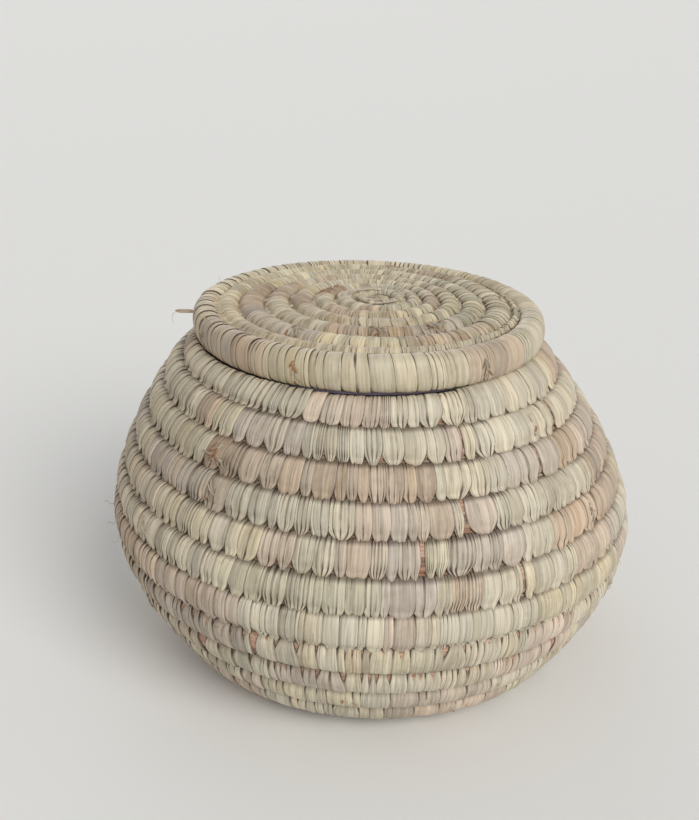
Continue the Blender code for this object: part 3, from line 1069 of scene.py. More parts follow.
def node_group(name: str, inputs: dict[str, tuple[str, object]],
               outputs: dict[str, str]) -> tuple[object, Graph, dict, dict]:
    """An empty shader node group with named sockets.

    Args:
        name: the group's name.
        inputs: kind and default value of each input socket.
        outputs: kind of each output socket.

    Returns:
        The group, a graph in it, its input sockets by name and its output sockets by name.
    """
    group = bpy.data.node_groups.new(name, "ShaderNodeTree")
    for title, (kind, value) in inputs.items():
        socket = group.interface.new_socket(title, in_out="INPUT", socket_type=f"NodeSocket{kind}")
        socket.default_value = value
    for title, kind in outputs.items():
        group.interface.new_socket(title, in_out="OUTPUT", socket_type=f"NodeSocket{kind}")
    ends = group.nodes.new("NodeGroupInput").outputs, group.nodes.new("NodeGroupOutput").inputs
    given, result = ({socket.name: socket for socket in sockets if socket.name} for sockets in ends)
    return group, Graph(group), given, result


class Effects:
    """The node groups that several finishes share."""

    def __init__(self) -> None:
        self.veins = self._veins()
        self.stains = self._stains()

    @staticmethod
    def _veins() -> bpy.types.NodeTree:
        """Fine lines that run along a leaf or fibre, as a shade and a height."""
        group, graph, given, result = node_group(
            "leaf_veins", {"Place": ("Vector", (0.0, 0.0, 0.0)), "Pitch": ("Float", 0.9),
                           "Length": ("Float", 26.0)},
            {"Shade": "Float", "Height": "Float", "Cracks": "Float"})
        parts = graph.node("SeparateXYZ")
        graph.feed(parts.inputs[0], given["Place"])
        joined = graph.node("CombineXYZ")
        graph.feed(joined.inputs[0], graph.math("DIVIDE", parts.outputs[0], given["Pitch"]))
        graph.feed(joined.inputs[1], graph.math("DIVIDE", parts.outputs[1], given["Length"]))
        graph.feed(joined.inputs[2], parts.outputs[2])
        fine = graph.noise(joined.outputs[0], 1.0, 1.5, 0.6)
        broad = graph.noise(graph.vector("MULTIPLY", joined.outputs[0], (0.31, 0.6, 1.0)), 1.0, 1.0)
        both = graph.math("ADD", graph.math("MULTIPLY", fine, 0.55), graph.math("MULTIPLY", broad, 0.45))
        value = graph.spread(both, 0.3, 0.7)
        long = graph.noise(graph.vector("MULTIPLY", joined.outputs[0], (0.42, 0.32, 1.0)), 1.0, 1.0)
        line = graph.spread(graph.math("ABSOLUTE", graph.math("SUBTRACT", long, 0.5)), 0.0, 0.03, 1.0, 0.0)
        patches = graph.noise(graph.vector("MULTIPLY", joined.outputs[0], (0.3, 1.1, 1.0)), 1.0)
        some = graph.spread(patches, 0.46, 0.6)
        graph.feed(result["Shade"], value)
        graph.feed(result["Height"], value)
        graph.feed(result["Cracks"], graph.math("MULTIPLY", line, some))
        return group

    @staticmethod
    def _stains() -> bpy.types.NodeTree:
        """Blotches of age over the whole piece, as a mask."""
        group, graph, given, result = node_group(
            "age_stains", {"Amount": ("Float", 0.5)}, {"Mask": "Float"})
        spot = graph.node("TexCoord").outputs["Object"]
        broad = graph.noise(spot, 26.0, 3.0, 0.6)
        small = graph.noise(spot, 210.0, 2.0, 0.5)
        mixed = graph.math("ADD", graph.math("MULTIPLY", broad, 0.7), graph.math("MULTIPLY", small, 0.3))
        mask = graph.spread(mixed, 0.46, 0.68)
        graph.feed(result["Mask"], graph.math("MULTIPLY", mask, given["Amount"], clamp=True))
        return group


@dataclass(frozen=True)
class LeafFinish:
    """Dried palm leaf: each stitch has its own tint, fine veins along it and browner edges, with painted
    shade in the creases, joins, grooves and under the tips, and a painted highlight beside the edges.
    """

    name: str
    veins: float = 0.58
    edge: float = 0.9
    age: float = 0.35
    roughness: float = 0.58
    relief: float = 0.00040
    pitch: float = 1.15
    level: float = 1.04
    red: float = 1.02
    blue: float = 1.0
    crease: float = 0.14
    # strength of the painted shadow under the tips of the row above
    tip_shade: float = 0.62
    # strength of the painted highlight beside the edges and creases
    edge_highlight: float = 0.22
    # strength of the painted shade deep in the grooves between rows
    deep_shade: float = 0.25
    gloss: float = 0.38

    def build(self, effects: Effects) -> bpy.types.Material:
        """The finished material.

        Args:
            effects: the shared node groups.

        Returns:
            The material.
        """
        material, graph, shader = start_material(self.name)
        tint = graph.attribute("tint").outputs["Color"]
        leaf = graph.attribute("leaf").outputs["Vector"]
        spot = graph.node("SeparateXYZ")
        graph.feed(spot.inputs[0], graph.attribute("spot").outputs["Vector"])
        veins = graph.group(effects.veins, Place=leaf, Pitch=self.pitch)
        stains = graph.group(effects.stains, Amount=self.age)

        shade = graph.math("ADD", graph.math("MULTIPLY", veins.outputs["Shade"], self.veins),
                           (1 - self.veins * 0.5) * self.level)
        grey = graph.node("CombineColor")
        for channel, share in zip(grey.inputs, (self.red, 1.0, self.blue)):
            graph.feed(channel, graph.math("MULTIPLY", shade, share))
        colour = graph.blend(1.0, tint, grey.outputs[0], "MULTIPLY")
        ragged = graph.noise(graph.vector("MULTIPLY", leaf, (0.2, 0.1, 1.0)), 1.0, 2.0)
        limit = graph.math("ADD", graph.math("MULTIPLY", ragged, 0.75), -0.14)
        near = graph.math("SUBTRACT", spot.outputs[0], limit)
        ends = graph.spread(spot.outputs[2], 0.2, 0.9, 0.55, 1.0)
        # Painted highlight: the colour is lightened beside the edges and creases of each strip.
        pale = graph.math("MULTIPLY", graph.spread(spot.outputs[0], 0.05, 0.4), self.edge_highlight)
        colour = graph.blend(pale, colour, Hue.PAINTED_HIGHLIGHT.paint)
        # Browner edges and creases, stronger towards the grooves: partly the leaf's own browning, partly
        # painted shade in the creases and the joins between strips.
        edge_brown_and_shade = graph.math("MULTIPLY", ends, self.edge)
        brown_and_shade = graph.math("MULTIPLY", graph.spread(near, 0.0, 0.24), edge_brown_and_shade)
        colour = graph.blend(brown_and_shade, colour, Hue.SEAM_AND_SHADE.paint)
        cracks = graph.math("MULTIPLY", veins.outputs["Cracks"], self.crease)
        colour = graph.blend(cracks, colour, Hue.STAIN_AND_SHADE.paint)
        # Painted shade deep in the grooves between rows.
        deep = graph.math("MULTIPLY", graph.spread(spot.outputs[2], 0.9, 1.3), self.deep_shade)
        colour = graph.blend(deep, colour, Hue.STAIN_AND_SHADE.paint)
        # Painted shadow under the tips of the row above, read from the tint's alpha.
        tip_shadow = graph.math("SUBTRACT", 1.0, graph.attribute("tint").outputs["Alpha"])
        tip_shade = graph.math("MULTIPLY", tip_shadow, self.tip_shade)
        colour = graph.blend(tip_shade, colour, Hue.SEAM_AND_SHADE.paint)
        colour = graph.blend(stains.outputs["Mask"], colour, Hue.BEIGE.paint, "MULTIPLY")
        graph.feed(shader.inputs["Base Color"], colour)
        rough = graph.math("ADD", graph.math("MULTIPLY", veins.outputs["Shade"], -0.12),
                           self.roughness + 0.06)
        graph.feed(shader.inputs["Roughness"], rough)
        shader.inputs["Specular IOR Level"].default_value = self.gloss
        graph.relief(shader, veins.outputs["Height"], self.relief)
        return material


@dataclass(frozen=True)
class FibreFinish:
    """Bundle of reddish fibres that runs along the rope under the wrapping."""

    name: str = "fibre_core"
    roughness: float = 0.8
    relief: float = 0.0006

    def build(self, effects: Effects) -> bpy.types.Material:
        """The finished material, from the shared node groups."""
        material, graph, shader = start_material(self.name)
        place = graph.attribute("leaf").outputs["Vector"]
        veins = graph.group(effects.veins, Place=place, Pitch=0.55, Length=14.0)
        tint = graph.attribute("tint").outputs["Color"]
        colour = graph.blend(graph.math("SUBTRACT", 1.0, veins.outputs["Shade"]), tint, Hue.FIBRE_DARK.paint)
        stains = graph.group(effects.stains, Amount=0.5)
        colour = graph.blend(stains.outputs["Mask"], colour, Hue.BEIGE.paint)
        graph.feed(shader.inputs["Base Color"], colour)
        shader.inputs["Roughness"].default_value = self.roughness
        graph.relief(shader, veins.outputs["Height"], self.relief)
        return material


@dataclass(frozen=True)
class ClothFinish:
    """Dark ribbed cloth with a fine twill."""

    name: str = "dark_cloth"
    rib: float = 1.6
    roughness: float = 0.86
    relief: float = 0.0004

    def build(self, effects: Effects) -> bpy.types.Material:
        """The finished material, from the shared node groups."""
        material, graph, shader = start_material(self.name)
        place = graph.attribute("leaf").outputs["Vector"]
        bands = []
        for turned in ((1.0, 0.6, 0.0), (-0.35, 1.0, 0.0)):
            wave = graph.node("TexWave", wave_type="BANDS", bands_direction="X")
            spot = graph.node("VectorMath", operation="DOT_PRODUCT")
            graph.feed(spot.inputs[0], place)
            graph.feed(spot.inputs[1], turned)
            line = graph.node("CombineXYZ")
            graph.feed(line.inputs[0], spot.outputs["Value"])
            graph.feed(wave.inputs["Vector"], line.outputs[0])
            wave.inputs["Scale"].default_value = 0.314 / self.rib
            bands.append(wave.outputs["Fac"])
        cross = graph.math("ADD", graph.math("MULTIPLY", bands[1], 0.5), 0.5)
        weave = graph.math("MULTIPLY", bands[0], cross)
        colour = graph.blend(weave, Hue.CLOTH.paint, Hue.CLOTH_LIGHT.paint)
        stains = graph.group(effects.stains, Amount=0.4)
        colour = graph.blend(stains.outputs["Mask"], colour, Hue.CLOTH.paint)
        graph.feed(shader.inputs["Base Color"], colour)
        shader.inputs["Roughness"].default_value = self.roughness
        shader.inputs["Sheen Weight"].default_value = 0.3
        graph.relief(shader, weave, self.relief)
        return material


@dataclass(frozen=True)
class Finishes:
    """Every finish of the basket, built once."""

    wall: bpy.types.Material
    lid: bpy.types.Material
    rim: bpy.types.Material
    base: bpy.types.Material
    fibre: bpy.types.Material
    cloth: bpy.types.Material

    @classmethod
    def build(cls) -> "Finishes":
        """Builds the materials over their shared node groups."""
        effects = Effects()
        return cls(wall=LeafFinish("palm_leaf").build(effects),
                   lid=LeafFinish("palm_leaf_lid", edge=0.82, age=0.6, level=0.91, red=1.03,
                                  blue=0.95).build(effects),
                   rim=LeafFinish("palm_leaf_rim", veins=0.36, roughness=0.5, relief=0.00018, level=0.95,
                                  red=1.035, blue=0.95, crease=0.35).build(effects),
                   base=LeafFinish("palm_leaf_base", age=0.6, level=0.97).build(effects),
                   fibre=FibreFinish().build(effects),
                   cloth=ClothFinish().build(effects))


def settle_piece(piece: bpy.types.Object, body: str, material: bpy.types.Material, slot: str,
                 *nodes: str) -> None:
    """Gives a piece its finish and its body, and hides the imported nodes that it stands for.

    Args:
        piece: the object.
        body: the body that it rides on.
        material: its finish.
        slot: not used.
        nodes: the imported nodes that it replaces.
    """
    piece.data.materials.append(material)
    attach(piece, body)
    if nodes:
        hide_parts(*nodes)
    log.info("%s: %d faces, on %s", piece.name, len(piece.data.polygons), body)


WALL_BUNCHES = [Bunch(*entry) for entry in (
    (1, -80, -20, Hue.COOL), (1, -20, 5, Hue.PINK), (1, 5, 28, Hue.CREAM), (1, 28, 35, Hue.COOL),
    (1, 35, 60, Hue.CREAM), (1, 60, 70, Hue.YELLOW), (1, 70, 90, Hue.TAN),
    (2, -80, -52, Hue.COOL), (2, -45, -38, Hue.YELLOW), (2, -38, -20, Hue.LILAC), (2, -20, 15, Hue.COOL),
    (2, 15, 20, Hue.PINK), (2, 20, 60, Hue.CREAM),
    (3, -80, -43, Hue.GREEN), (3, -43, -37, Hue.BROWN), (3, -37, -15, Hue.TAN), (3, -15, 13, Hue.TAN),
    (3, 13, 30, Hue.CREAM), (3, 30, 48, Hue.LILAC), (3, 50, 60, Hue.TAN), (3, 60, 80, Hue.PINK),
    (4, -80, -65, Hue.COOL), (4, -65, -35, Hue.LILAC), (4, -35, -8, Hue.COOL), (4, -8, 0, Hue.PINK),
    (4, 0, 10, Hue.LILAC), (4, 10, 26, Hue.PINK), (4, 26, 60, Hue.CREAM), (4, 60, 80, Hue.TAN),
    (5, -80, -55, Hue.BEIGE), (5, -55, -27, Hue.YELLOW), (5, -27, -18, Hue.PINK), (5, -18, -12, Hue.COOL),
    (5, -12, -3, Hue.PINK), (5, -3, 10, Hue.LILAC), (5, 10, 15, Hue.YELLOW), (5, 15, 30, Hue.LILAC),
    (5, 30, 37, Hue.CREAM), (5, 37, 60, Hue.ORANGE), (5, 60, 75, Hue.TAN),
    (6, -80, -60, Hue.COOL), (6, -60, -35, Hue.CREAM), (6, -35, 0, Hue.GREEN), (6, 0, 10, Hue.LILAC),
    (6, 10, 15, Hue.COOL), (6, 15, 20, Hue.TAN), (6, 20, 45, Hue.CREAM), (6, 45, 60, Hue.PINK),
    (6, 60, 80, Hue.CREAM),
    (7, -60, -30, Hue.PINK), (7, -30, -15, Hue.CREAM), (7, -15, 0, Hue.COOL), (7, 0, 10, Hue.PINK),
    (7, 10, 30, Hue.COOL), (7, 30, 60, Hue.YELLOW),
    (8, -50, -30, Hue.LILAC), (8, -30, -10, Hue.CREAM), (8, -10, 10, Hue.YELLOW), (8, 10, 30, Hue.CREAM),
    (8, 30, 45, Hue.PINK), (8, 45, 70, Hue.CREAM),
    (9, -40, -25, Hue.GREEN), (9, -25, -10, Hue.LILAC), (9, -10, 25, Hue.CREAM), (9, 25, 45, Hue.PINK),
    (10, -30, -5, Hue.YELLOW), (10, 0, 25, Hue.LILAC), (10, 25, 40, Hue.CREAM),
    (11, -30, 0, Hue.COOL), (11, 5, 30, Hue.PINK))]
WALL_GAPS = ((2, 58.5, 2.6), (3, 45.0, 2.0), (5, 58.0, 1.4), (1, 67.0, 1.6), (5, 10.0, 1.3), (4, 21.0, 1.5),
             (8, -25.0, 1.4), (2, 24.0, 1.3), (6, 31.0, 1.2), (9, 42.0, 1.5), (9, -40.0, 1.4))
WALL_FRAYS = ((3, -39.0, 16, 4.0, 7.0), (4, -38.0, 7, 2.5, 8.0), (6, -57.0, 8, 3.0, 7.0),
              (7, -60.0, 8, 4.0, 6.0),
              (9, -62.0, 10, 5.0, 6.0), (8, -34.0, 5, 3.0, 5.0), (10, -6.0, 5, 4.0, 4.0),
              (11, 20.0, 6, 5.0, 4.0),
              (8, 62.0, 6, 4.0, 5.0), (2, 47.0, 5, 2.0, 6.0), (5, 55.0, 4, 2.0, 5.0),
              (10, 28.0, 5, 3.0, 4.0),
              (4, 150.0, 10, 4.0, 7.0), (6, -140.0, 8, 4.0, 7.0), (8, 110.0, 7, 4.0, 6.0))
WALL_HAIRS = (
    (4, -40.0, ((0.0, 6.0, 8.0), (0.5, 2.0, 10.6), (-0.6, -4.0, 10.4), (0.2, -9.0, 9.0)), 1.6, Hue.ORANGE),
    (7, -80.0, ((0.0, 2.0, 9.0), (-3.0, -1.0, 12.0), (-5.0, 1.0, 15.0), (-8.0, -2.0, 17.0)), 0.5, Hue.CREAM),
    (7, -76.0, ((0.0, -4.0, 9.0), (-2.0, -7.0, 12.0), (-5.0, -6.0, 14.5), (-6.0, -9.0, 16.0)), 0.5,
     Hue.COOL),
    (7, -72.0, ((0.0, -6.0, 8.0), (2.0, -9.0, 11.0), (0.0, -12.0, 14.0), (-3.0, -11.0, 15.0)), 0.45,
     Hue.CREAM),
    (9, -58.0, ((0.0, 0.0, 9.0), (-2.0, -3.0, 11.5), (-5.0, -6.0, 13.0)), 0.6, Hue.TAN),
    (12, 2.0, ((0.0, -2.0, 8.0), (3.0, -5.0, 11.0), (6.0, -6.0, 12.0), (9.0, -5.5, 12.5)), 0.6, Hue.COOL),
    (12, 0.0, ((0.0, -2.0, 8.0), (-2.0, -5.0, 10.5), (-4.0, -6.0, 11.5)), 0.6, Hue.CREAM),
    (8, 76.0, ((0.0, 2.0, 9.0), (2.0, 0.0, 11.5), (3.0, -3.0, 13.5)), 0.5, Hue.CREAM))
COMMON = {Hue.CREAM: 4.0, Hue.COOL: 3.0, Hue.GREEN: 1.6, Hue.YELLOW: 2.0, Hue.BEIGE: 2.0, Hue.PINK: 2.4,
          Hue.LILAC: 2.0, Hue.TAN: 1.2, Hue.ORANGE: 0.5}


@dataclass
class Body:
    """The basket's own rope: its core, its wrapping row by row, the base and the small knot under it."""

    stance: Stance
    belly_radius: float = 0.1718
    belly_height: float = 0.0985
    mouth_radius: float = 0.1100
    mouth_height: float = 0.2205
    foot_radius: float = 0.1335
    foot_height: float = 0.0170
    wall_thickness: float = 0.0190
    base_thickness: float = 0.0150
    knot_radius: float = 0.0130
    mouth_turn: float = 0.0217
    foot_turn: float = 0.0215
    base_turn: float = 0.0190
    end_share: float = 0.15
    shoulder_power: float = 1.63
    foot_power: float = 1.66
    core_inset: float = 0.95 * MM
    wall_rows: int = 12
    LENGTHS: ClassVar[dict[str, int]] = {"shoulder_coil": 4, "upper_belly_coil": 6, "lower_belly_coil": 8,
                                         "foot_coil": 99}

    def __post_init__(self) -> None:
        """Winds the rope along the wall's profile."""
        rise, spread = self.belly_height - self.foot_height, self.belly_radius - self.foot_radius
        foot_angle = math.atan2(rise, spread * self.foot_power)
        start = self.base_thickness / 2
        bend = (self.foot_height - start) / (1 - math.cos(foot_angle))
        flat_end = self.foot_radius - bend * math.sin(foot_angle)
        points = [(flat_end * share, start) for share in np.linspace(0, 1, 60, endpoint=False)]
        points += [(flat_end + bend * math.sin(angle), start + bend * (1 - math.cos(angle)))
                   for angle in np.linspace(0, foot_angle, 30, endpoint=False)]
        points += [(self.belly_radius - spread * (1 - share) ** self.foot_power,
                    self.foot_height + rise * share)
                   for share in np.linspace(0, 1, 120, endpoint=False)]
        points += [(self.belly_radius - (self.belly_radius - self.mouth_radius)
                    * share ** self.shoulder_power,
                    self.belly_height + (self.mouth_height - self.belly_height) * share)
                   for share in np.linspace(0, 1, 120)]
        profile = Profile(points)
        spaces = [flat_end - self.base_turn, flat_end, profile.total]
        turns = [self.base_turn, self.foot_turn, self.mouth_turn]
        depths = [flat_end, flat_end + self.foot_turn]
        self.flat_end = flat_end
        self.rope = Rope(self.stance, profile, self.knot_radius,
                         lambda length: np.interp(length, spaces, turns),
                         lambda length: np.interp(length, depths,
                                                  [self.base_thickness, self.wall_thickness]),
                         self.end_share, 1, section=2.6)

    def node_at(self, row: int) -> str:
        """Packed length of rope that a row of the wall lies on."""
        return next(node for node, last_row in self.LENGTHS.items() if row <= last_row)

    def style_at(self, row: int, degrees: float) -> StitchStyle:
        """Style of the stitches: deep tips on the upper rows, flat ends with narrow tops on the low ones."""
        slant = float(np.interp(degrees, (-75.0, -30.0, 0.0, 40.0, 90.0),
                                (-2.4, -2.4, -0.8, -1.0, -1.6))) * MM
        bulge = float(np.interp(degrees, (-60.0, -30.0, -12.0, 20.0, 36.0, 60.0),
                                (2.3, 2.2, 0.1, 0.1, 2.0, 2.3)))
        upper = StitchStyle(skew=slant, tip_shadow=float(row > 1), swell=bulge * MM * (row <= 1))
        lower = StitchStyle(leave=math.radians(-56.0), reach=1.3 * MM, reach_spread=0.3 * MM, fork=0.3 * MM,
                            tip_share=0.9, tip_power=3.0, taper_from=-0.55, top_share=0.5, top_from=0.1,
                            width=10.0 * MM, width_spread=2.4 * MM, narrow=5.0 * MM, narrow_chance=0.2,
                            overlap=1.14, camber=0.5 * MM, skew=-1.3 * MM, lobes=(1, 1, 2, 2, 3),
                            notch_rows=0.8,
                            round_rows=0.4, pleat=0.32 * MM, pleats=(1, 1, 2, 2, 3, 5))
        if row <= 6 and -40 < degrees < 28:
            return upper
        if row <= 6 and 28 <= degrees < 120:
            return replace(upper, reach=2.6 * MM, reach_spread=0.5 * MM, tip_share=0.45, taper_from=-0.45,
                           width=12.0 * MM, narrow_chance=0.18, lobes=(1, 1, 2), round_rows=0.7,
                           notch_rows=1.4,
                           pleats=(1, 1, 2, 2, 3), camber=0.9 * MM)
        if row <= 6:
            return replace(upper, reach=2.8 * MM, reach_spread=0.5 * MM, tip_share=0.3, taper_from=-0.4,
                           width=10.0 * MM, narrow_chance=0.35, round_rows=0.7, notch_rows=2.0,
                           camber=1.1 * MM,
                           shingle=1.0 * MM)
        if row == 7:
            return replace(lower, reach=2.4 * MM, reach_spread=0.5 * MM, tip_share=0.4, tip_power=3.0,
                           taper_from=-0.4, top_share=0.84, top_from=0.3, lobes=(1, 1, 1, 2), notch_rows=1.4,
                           round_rows=0.9)
        if row <= 9:
            return lower
        if row <= self.wall_rows:
            return replace(lower, width=13.5 * MM, width_spread=3.0 * MM, top_share=0.8, top_from=0.4,
                           lobes=(1, 1, 2), pleats=(1, 1, 2, 3), pleat=0.3 * MM)
        return replace(lower, top_share=0.9, width=11.0 * MM)

    def build(self, finishes: Finishes) -> None:
        """Builds and dresses the basket's wall and base.

        Args:
            finishes: the materials.
        """
        rope = self.rope
        last = rope.turns + 1.0
        chart = HueChart(WALL_BUNCHES, COMMON, seed=11)
        run = lay_run(rope, 0.05, last - 0.25, self.style_at, chart, 21, WALL_GAPS)
        layer = StitchLayer(rope, 31)
        middle = rope.band(run.turn)[0]
        row = np.round(run.turn + self.end_share).astype(int)
        flat = middle < self.flat_end
        for number in range(row.min(), row[~flat].max() + 1):
            chosen = run.part((row == number) & ~flat)
            mesh = TubeMesh(layer.ribbons(chosen))
            settle_piece(mesh.build(f"wall_wrap_{number:02d}"), "basket", finishes.wall, "palm_leaf",
                         self.node_at(number))
        mesh = TubeMesh(layer.ribbons(run.part(flat)))
        settle_piece(mesh.build("base_wrap"), "basket", finishes.base, "palm_leaf_base", "base_coil")
        mesh = TubeMesh()
        core_tube(mesh, rope, 0.12, last - 0.2, self.core_inset)
        groove_tube(mesh, rope, 0.4, 7.3)
        settle_piece(mesh.build("wall_core"), "basket", finishes.fibre, "fibre_core", *self.LENGTHS,
                     "base_coil")
        self._frays(finishes)
        self._knot(finishes)

    def _frays(self, finishes: Finishes) -> None:
        """Builds the torn leaf ends and loose hairs on the wall."""
        mesh = TubeMesh()
        for number, (row, degrees, count, spread, length) in enumerate(WALL_FRAYS):
            add_shreds(mesh, self.rope, fray(self.rope, row, degrees, 100 + number, count, spread, length))
        for row, degrees, points, width, hue in WALL_HAIRS:
            turn = float(self.rope.turn_at(row, degrees))
            add_shreds(mesh, self.rope, [Shred(turn, points, width, 0.3, hue, 0.6)])
        settle_piece(mesh.build("wall_frays"), "basket", finishes.wall, "palm_leaf")

    def _knot(self, finishes: Finishes) -> None:
        """Builds the wrapped start of the base's rope, a tight curl of small stitches."""
        hoop = Hoop(self.stance, self.knot_radius * 0.52, self.base_thickness / 2, self.knot_radius * 0.42,
                    self.base_thickness / 2 - 0.3 * MM, lambda radius: 0.0 * radius)
        style = StitchStyle(start=math.radians(150.0), leave=math.radians(-150.0), width=6 * MM,
                            width_spread=1 * MM,
                            narrow=4 * MM, shingle=0.25 * MM, camber=0.2 * MM, skew=0.3 * MM,
                            outward=0.05 * MM,
                            tip_share=1.0, top_share=1.0)
        run = lay_run(hoop, 0.0, 0.98, lambda row, degrees: style, HueChart([], COMMON, 5), 6)
        mesh = TubeMesh(StitchLayer(hoop, 7).ribbons(run))
        core_tube(mesh, hoop, 0.0, 1.0, 0.5 * MM, per_turn=40)
        settle_piece(mesh.build("base_knot_wrap"), "basket", finishes.base, "palm_leaf_base", "base_knot")


@dataclass
class Lining:
    """The dark cloth inside the rope and its rolled hem over the mouth."""

    body: Body
    thickness: float = 1.6 * MM
    gap: float = 0.8 * MM
    hem_drop: float = 10.0 * MM
    hem_reach: float = 4.6 * MM
    side_tuck: float = 9.0 * MM
    side_drop: float = 1.6 * MM
    slack_at: float = math.radians(4.0)
    steps_round: int = 180
    steps_up: int = 72

    def _inside(self, length: Array, extra: Array) -> tuple[Array, Array]:
        """Radius and height inside the rope, at lengths along the wall and distances from its inner side."""
        profile, rope = self.body.rope.profile, self.body.rope
        point, normal = profile.frame(length)
        spot = point - normal * (rope.thickness(length) / 2 + self.gap + extra)[..., None]
        return np.maximum(spot[..., 0], 0.0), spot[..., 1]

    def _ripple(self, angle: Array, length: Array) -> Array:
        """Soft upright folds and the faint ribs of the rope behind the cloth."""
        total = self.body.rope.profile.total
        share = length / total
        folds = np.sin(angle * 9 + 2.0 * np.sin(share * 5)) * 0.5 + np.sin(angle * 23 + 1.7) * 0.25
        ribs = np.cos(length / self.body.mouth_turn * math.tau)
        return 0.55 * MM * (1.2 + folds) * smooth(share * 2.5 - 0.4) + 0.35 * MM * (1 + ribs)

    def build(self, finishes: Finishes) -> None:
        """Args:
            finishes: the materials.
        """
        profile = self.body.rope.profile
        lengths = np.linspace(0.0, profile.total - self.hem_drop, self.steps_up)
        angle = math.tau * np.arange(self.steps_round) / self.steps_round
        grid_length, grid_angle = np.meshgrid(lengths, angle, indexing="ij")
        fold = self._ripple(grid_angle, grid_length)
        stance = self.body.stance
        sheets = []
        for extra in (0.0, self.thickness):
            radius, height = self._inside(grid_length, fold + extra)
            radius = np.where(grid_length <= 0, 0.05 * MM, np.maximum(radius, 0.05 * MM))
            sheets.append(stance.place(radius, grid_angle, height, 0 * radius))
        outer, inner = sheets
        rings = np.concatenate([outer, inner[::-1]])[None]
        flat_length = np.concatenate([grid_length, grid_length[::-1]]) / MM
        flat_round = np.concatenate([grid_angle, grid_angle]) * 120.0
        leaf = stacked(flat_round.shape, flat_round, flat_length, 0.0)[None]
        mesh = TubeMesh()
        mesh.add(rings, {"leaf": leaf}, rows=4)
        cloth = mesh.build("lining_cloth")
        settle_piece(cloth, "basket", finishes.cloth, "dark_cloth", "lining")
        hem = self._hem(finishes)
        ring = (np.linspace(0, profile.total - self.hem_drop, 400))
        area = float(math.tau * self._inside(ring, 0 * ring)[0].mean() * ring[-1])

    def _hem(self, finishes: Finishes) -> bpy.types.Object:
        """Builds the hem that folds over the mouth."""
        profile, stance = self.body.rope.profile, self.body.stance
        point, normal = profile.frame(np.array(profile.total))
        tangent = np.array([-normal[1], normal[0]])
        leg = self.body.wall_thickness / 2 + self.gap
        over = 1.1 * MM
        outline = [(self.hem_reach, over - 0.6 * MM), (self.hem_reach + 0.7 * MM, over + 0.5 * MM),
                   (self.hem_reach - 0.3 * MM, over + 1.5 * MM), (0.0, over + 1.3 * MM),
                   (-leg * 0.6, over + 1.5 * MM),
                   (-leg - 0.6 * MM, over + 0.9 * MM), (-leg - 1.7 * MM, -0.6 * MM)]
        back = [(-leg + 0.2 * MM, -0.2 * MM), (-leg * 0.5, over - 0.1 * MM), (0.0, over - 0.3 * MM)]
        front = [tuple(point + normal * out + tangent * up) for out, up in outline]
        rear = [tuple(point + normal * out + tangent * up) for out, up in back]
        drop = np.array(profile.total - self.hem_drop)
        low = [tuple(float(part) for part in self._inside(drop, np.array(extra)))
               for extra in (1.9 * MM, 0.2 * MM)]
        shape = np.array(front + low + rear)
        steps = 240
        angle = math.tau * np.arange(steps + 1)[:, None] / steps
        ripple = 0.25 * MM * np.sin(angle * 31) + 0.2 * MM * np.sin(angle * 13 + 1)
        tucked = 1 - smooth((np.cos(angle - self.slack_at) - 0.74) / 0.22)
        mean = shape[:, 0].mean()
        outer = np.clip((shape[None, :, 0] - mean) / (shape[:, 0].max() - mean), 0, 1)
        radius = shape[None, :, 0] + ripple - self.side_tuck * tucked * outer
        height = shape[None, :, 1] + 0.4 * ripple - self.side_drop * tucked * outer
        rings = stance.place(radius, np.broadcast_to(angle, radius.shape), height, 0 * radius)
        leaf = stacked(radius.shape, angle * 110.0, np.arange(len(shape)) * 3.0, 0.0)
        mesh = TubeMesh()
        mesh.add(rings[None], {"leaf": leaf[None]}, rows=8)
        hem = mesh.build("hem_cloth")
        settle_piece(hem, "basket", finishes.cloth, "dark_cloth", "lining_hem")
        return hem


LID_COMMON = {Hue.CREAM: 4.0, Hue.YELLOW: 2.5, Hue.GREEN: 1.6, Hue.BEIGE: 2.5, Hue.TAN: 1.2, Hue.COOL: 1.2,
              Hue.PINK: 1.0}
LID_BUNCHES = [Bunch(*entry) for entry in (
    (1, -180, -60, Hue.YELLOW), (1, -60, 25, Hue.BEIGE), (1, 25, 150, Hue.CREAM),
    (2, -110, -75, Hue.TAN), (2, -75, -20, Hue.LILAC), (2, -20, 20, Hue.YELLOW), (2, 20, 60, Hue.PINK),
    (2, 60, 110, Hue.CREAM), (3, -120, -80, Hue.TAN), (3, -80, -20, Hue.COOL), (3, -20, 25, Hue.TAN),
    (3, 25, 60, Hue.LILAC), (3, 60, 120, Hue.GREEN), (4, -60, 40, Hue.BEIGE), (4, 40, 120, Hue.YELLOW),
    (5, -135, -98, Hue.BROWN))]
LID_FRAYS = ((2, -35.0, 16, 4.0, 6.0), (3, 4.0, 16, 4.0, 5.0), (3, 36.0, 20, 6.0, 6.0),
             (5, -115.0, 34, 7.0, 6.0),
             (1, -40.0, 6, 3.0, 5.0), (1, 62.0, 8, 4.0, 5.0), (2, 100.0, 8, 4.0, 5.0),
             (2, 170.0, 8, 4.0, 5.0))
LID_PATCH_HUES = (Hue.BROWN, Hue.RUST, Hue.RUST, Hue.TAN, Hue.STAIN_AND_SHADE)
LID_TEAR_HUES = (Hue.CREAM, Hue.BEIGE, Hue.TAN, Hue.BROWN, Hue.RUST)
RIM_FRAYS = ((-23.0, 8, 0.6, 4.0), (37.0, 14, 1.6, 6.0), (-66.0, 12, 2.4, 5.0), (150.0, 8, 2.0, 6.0))
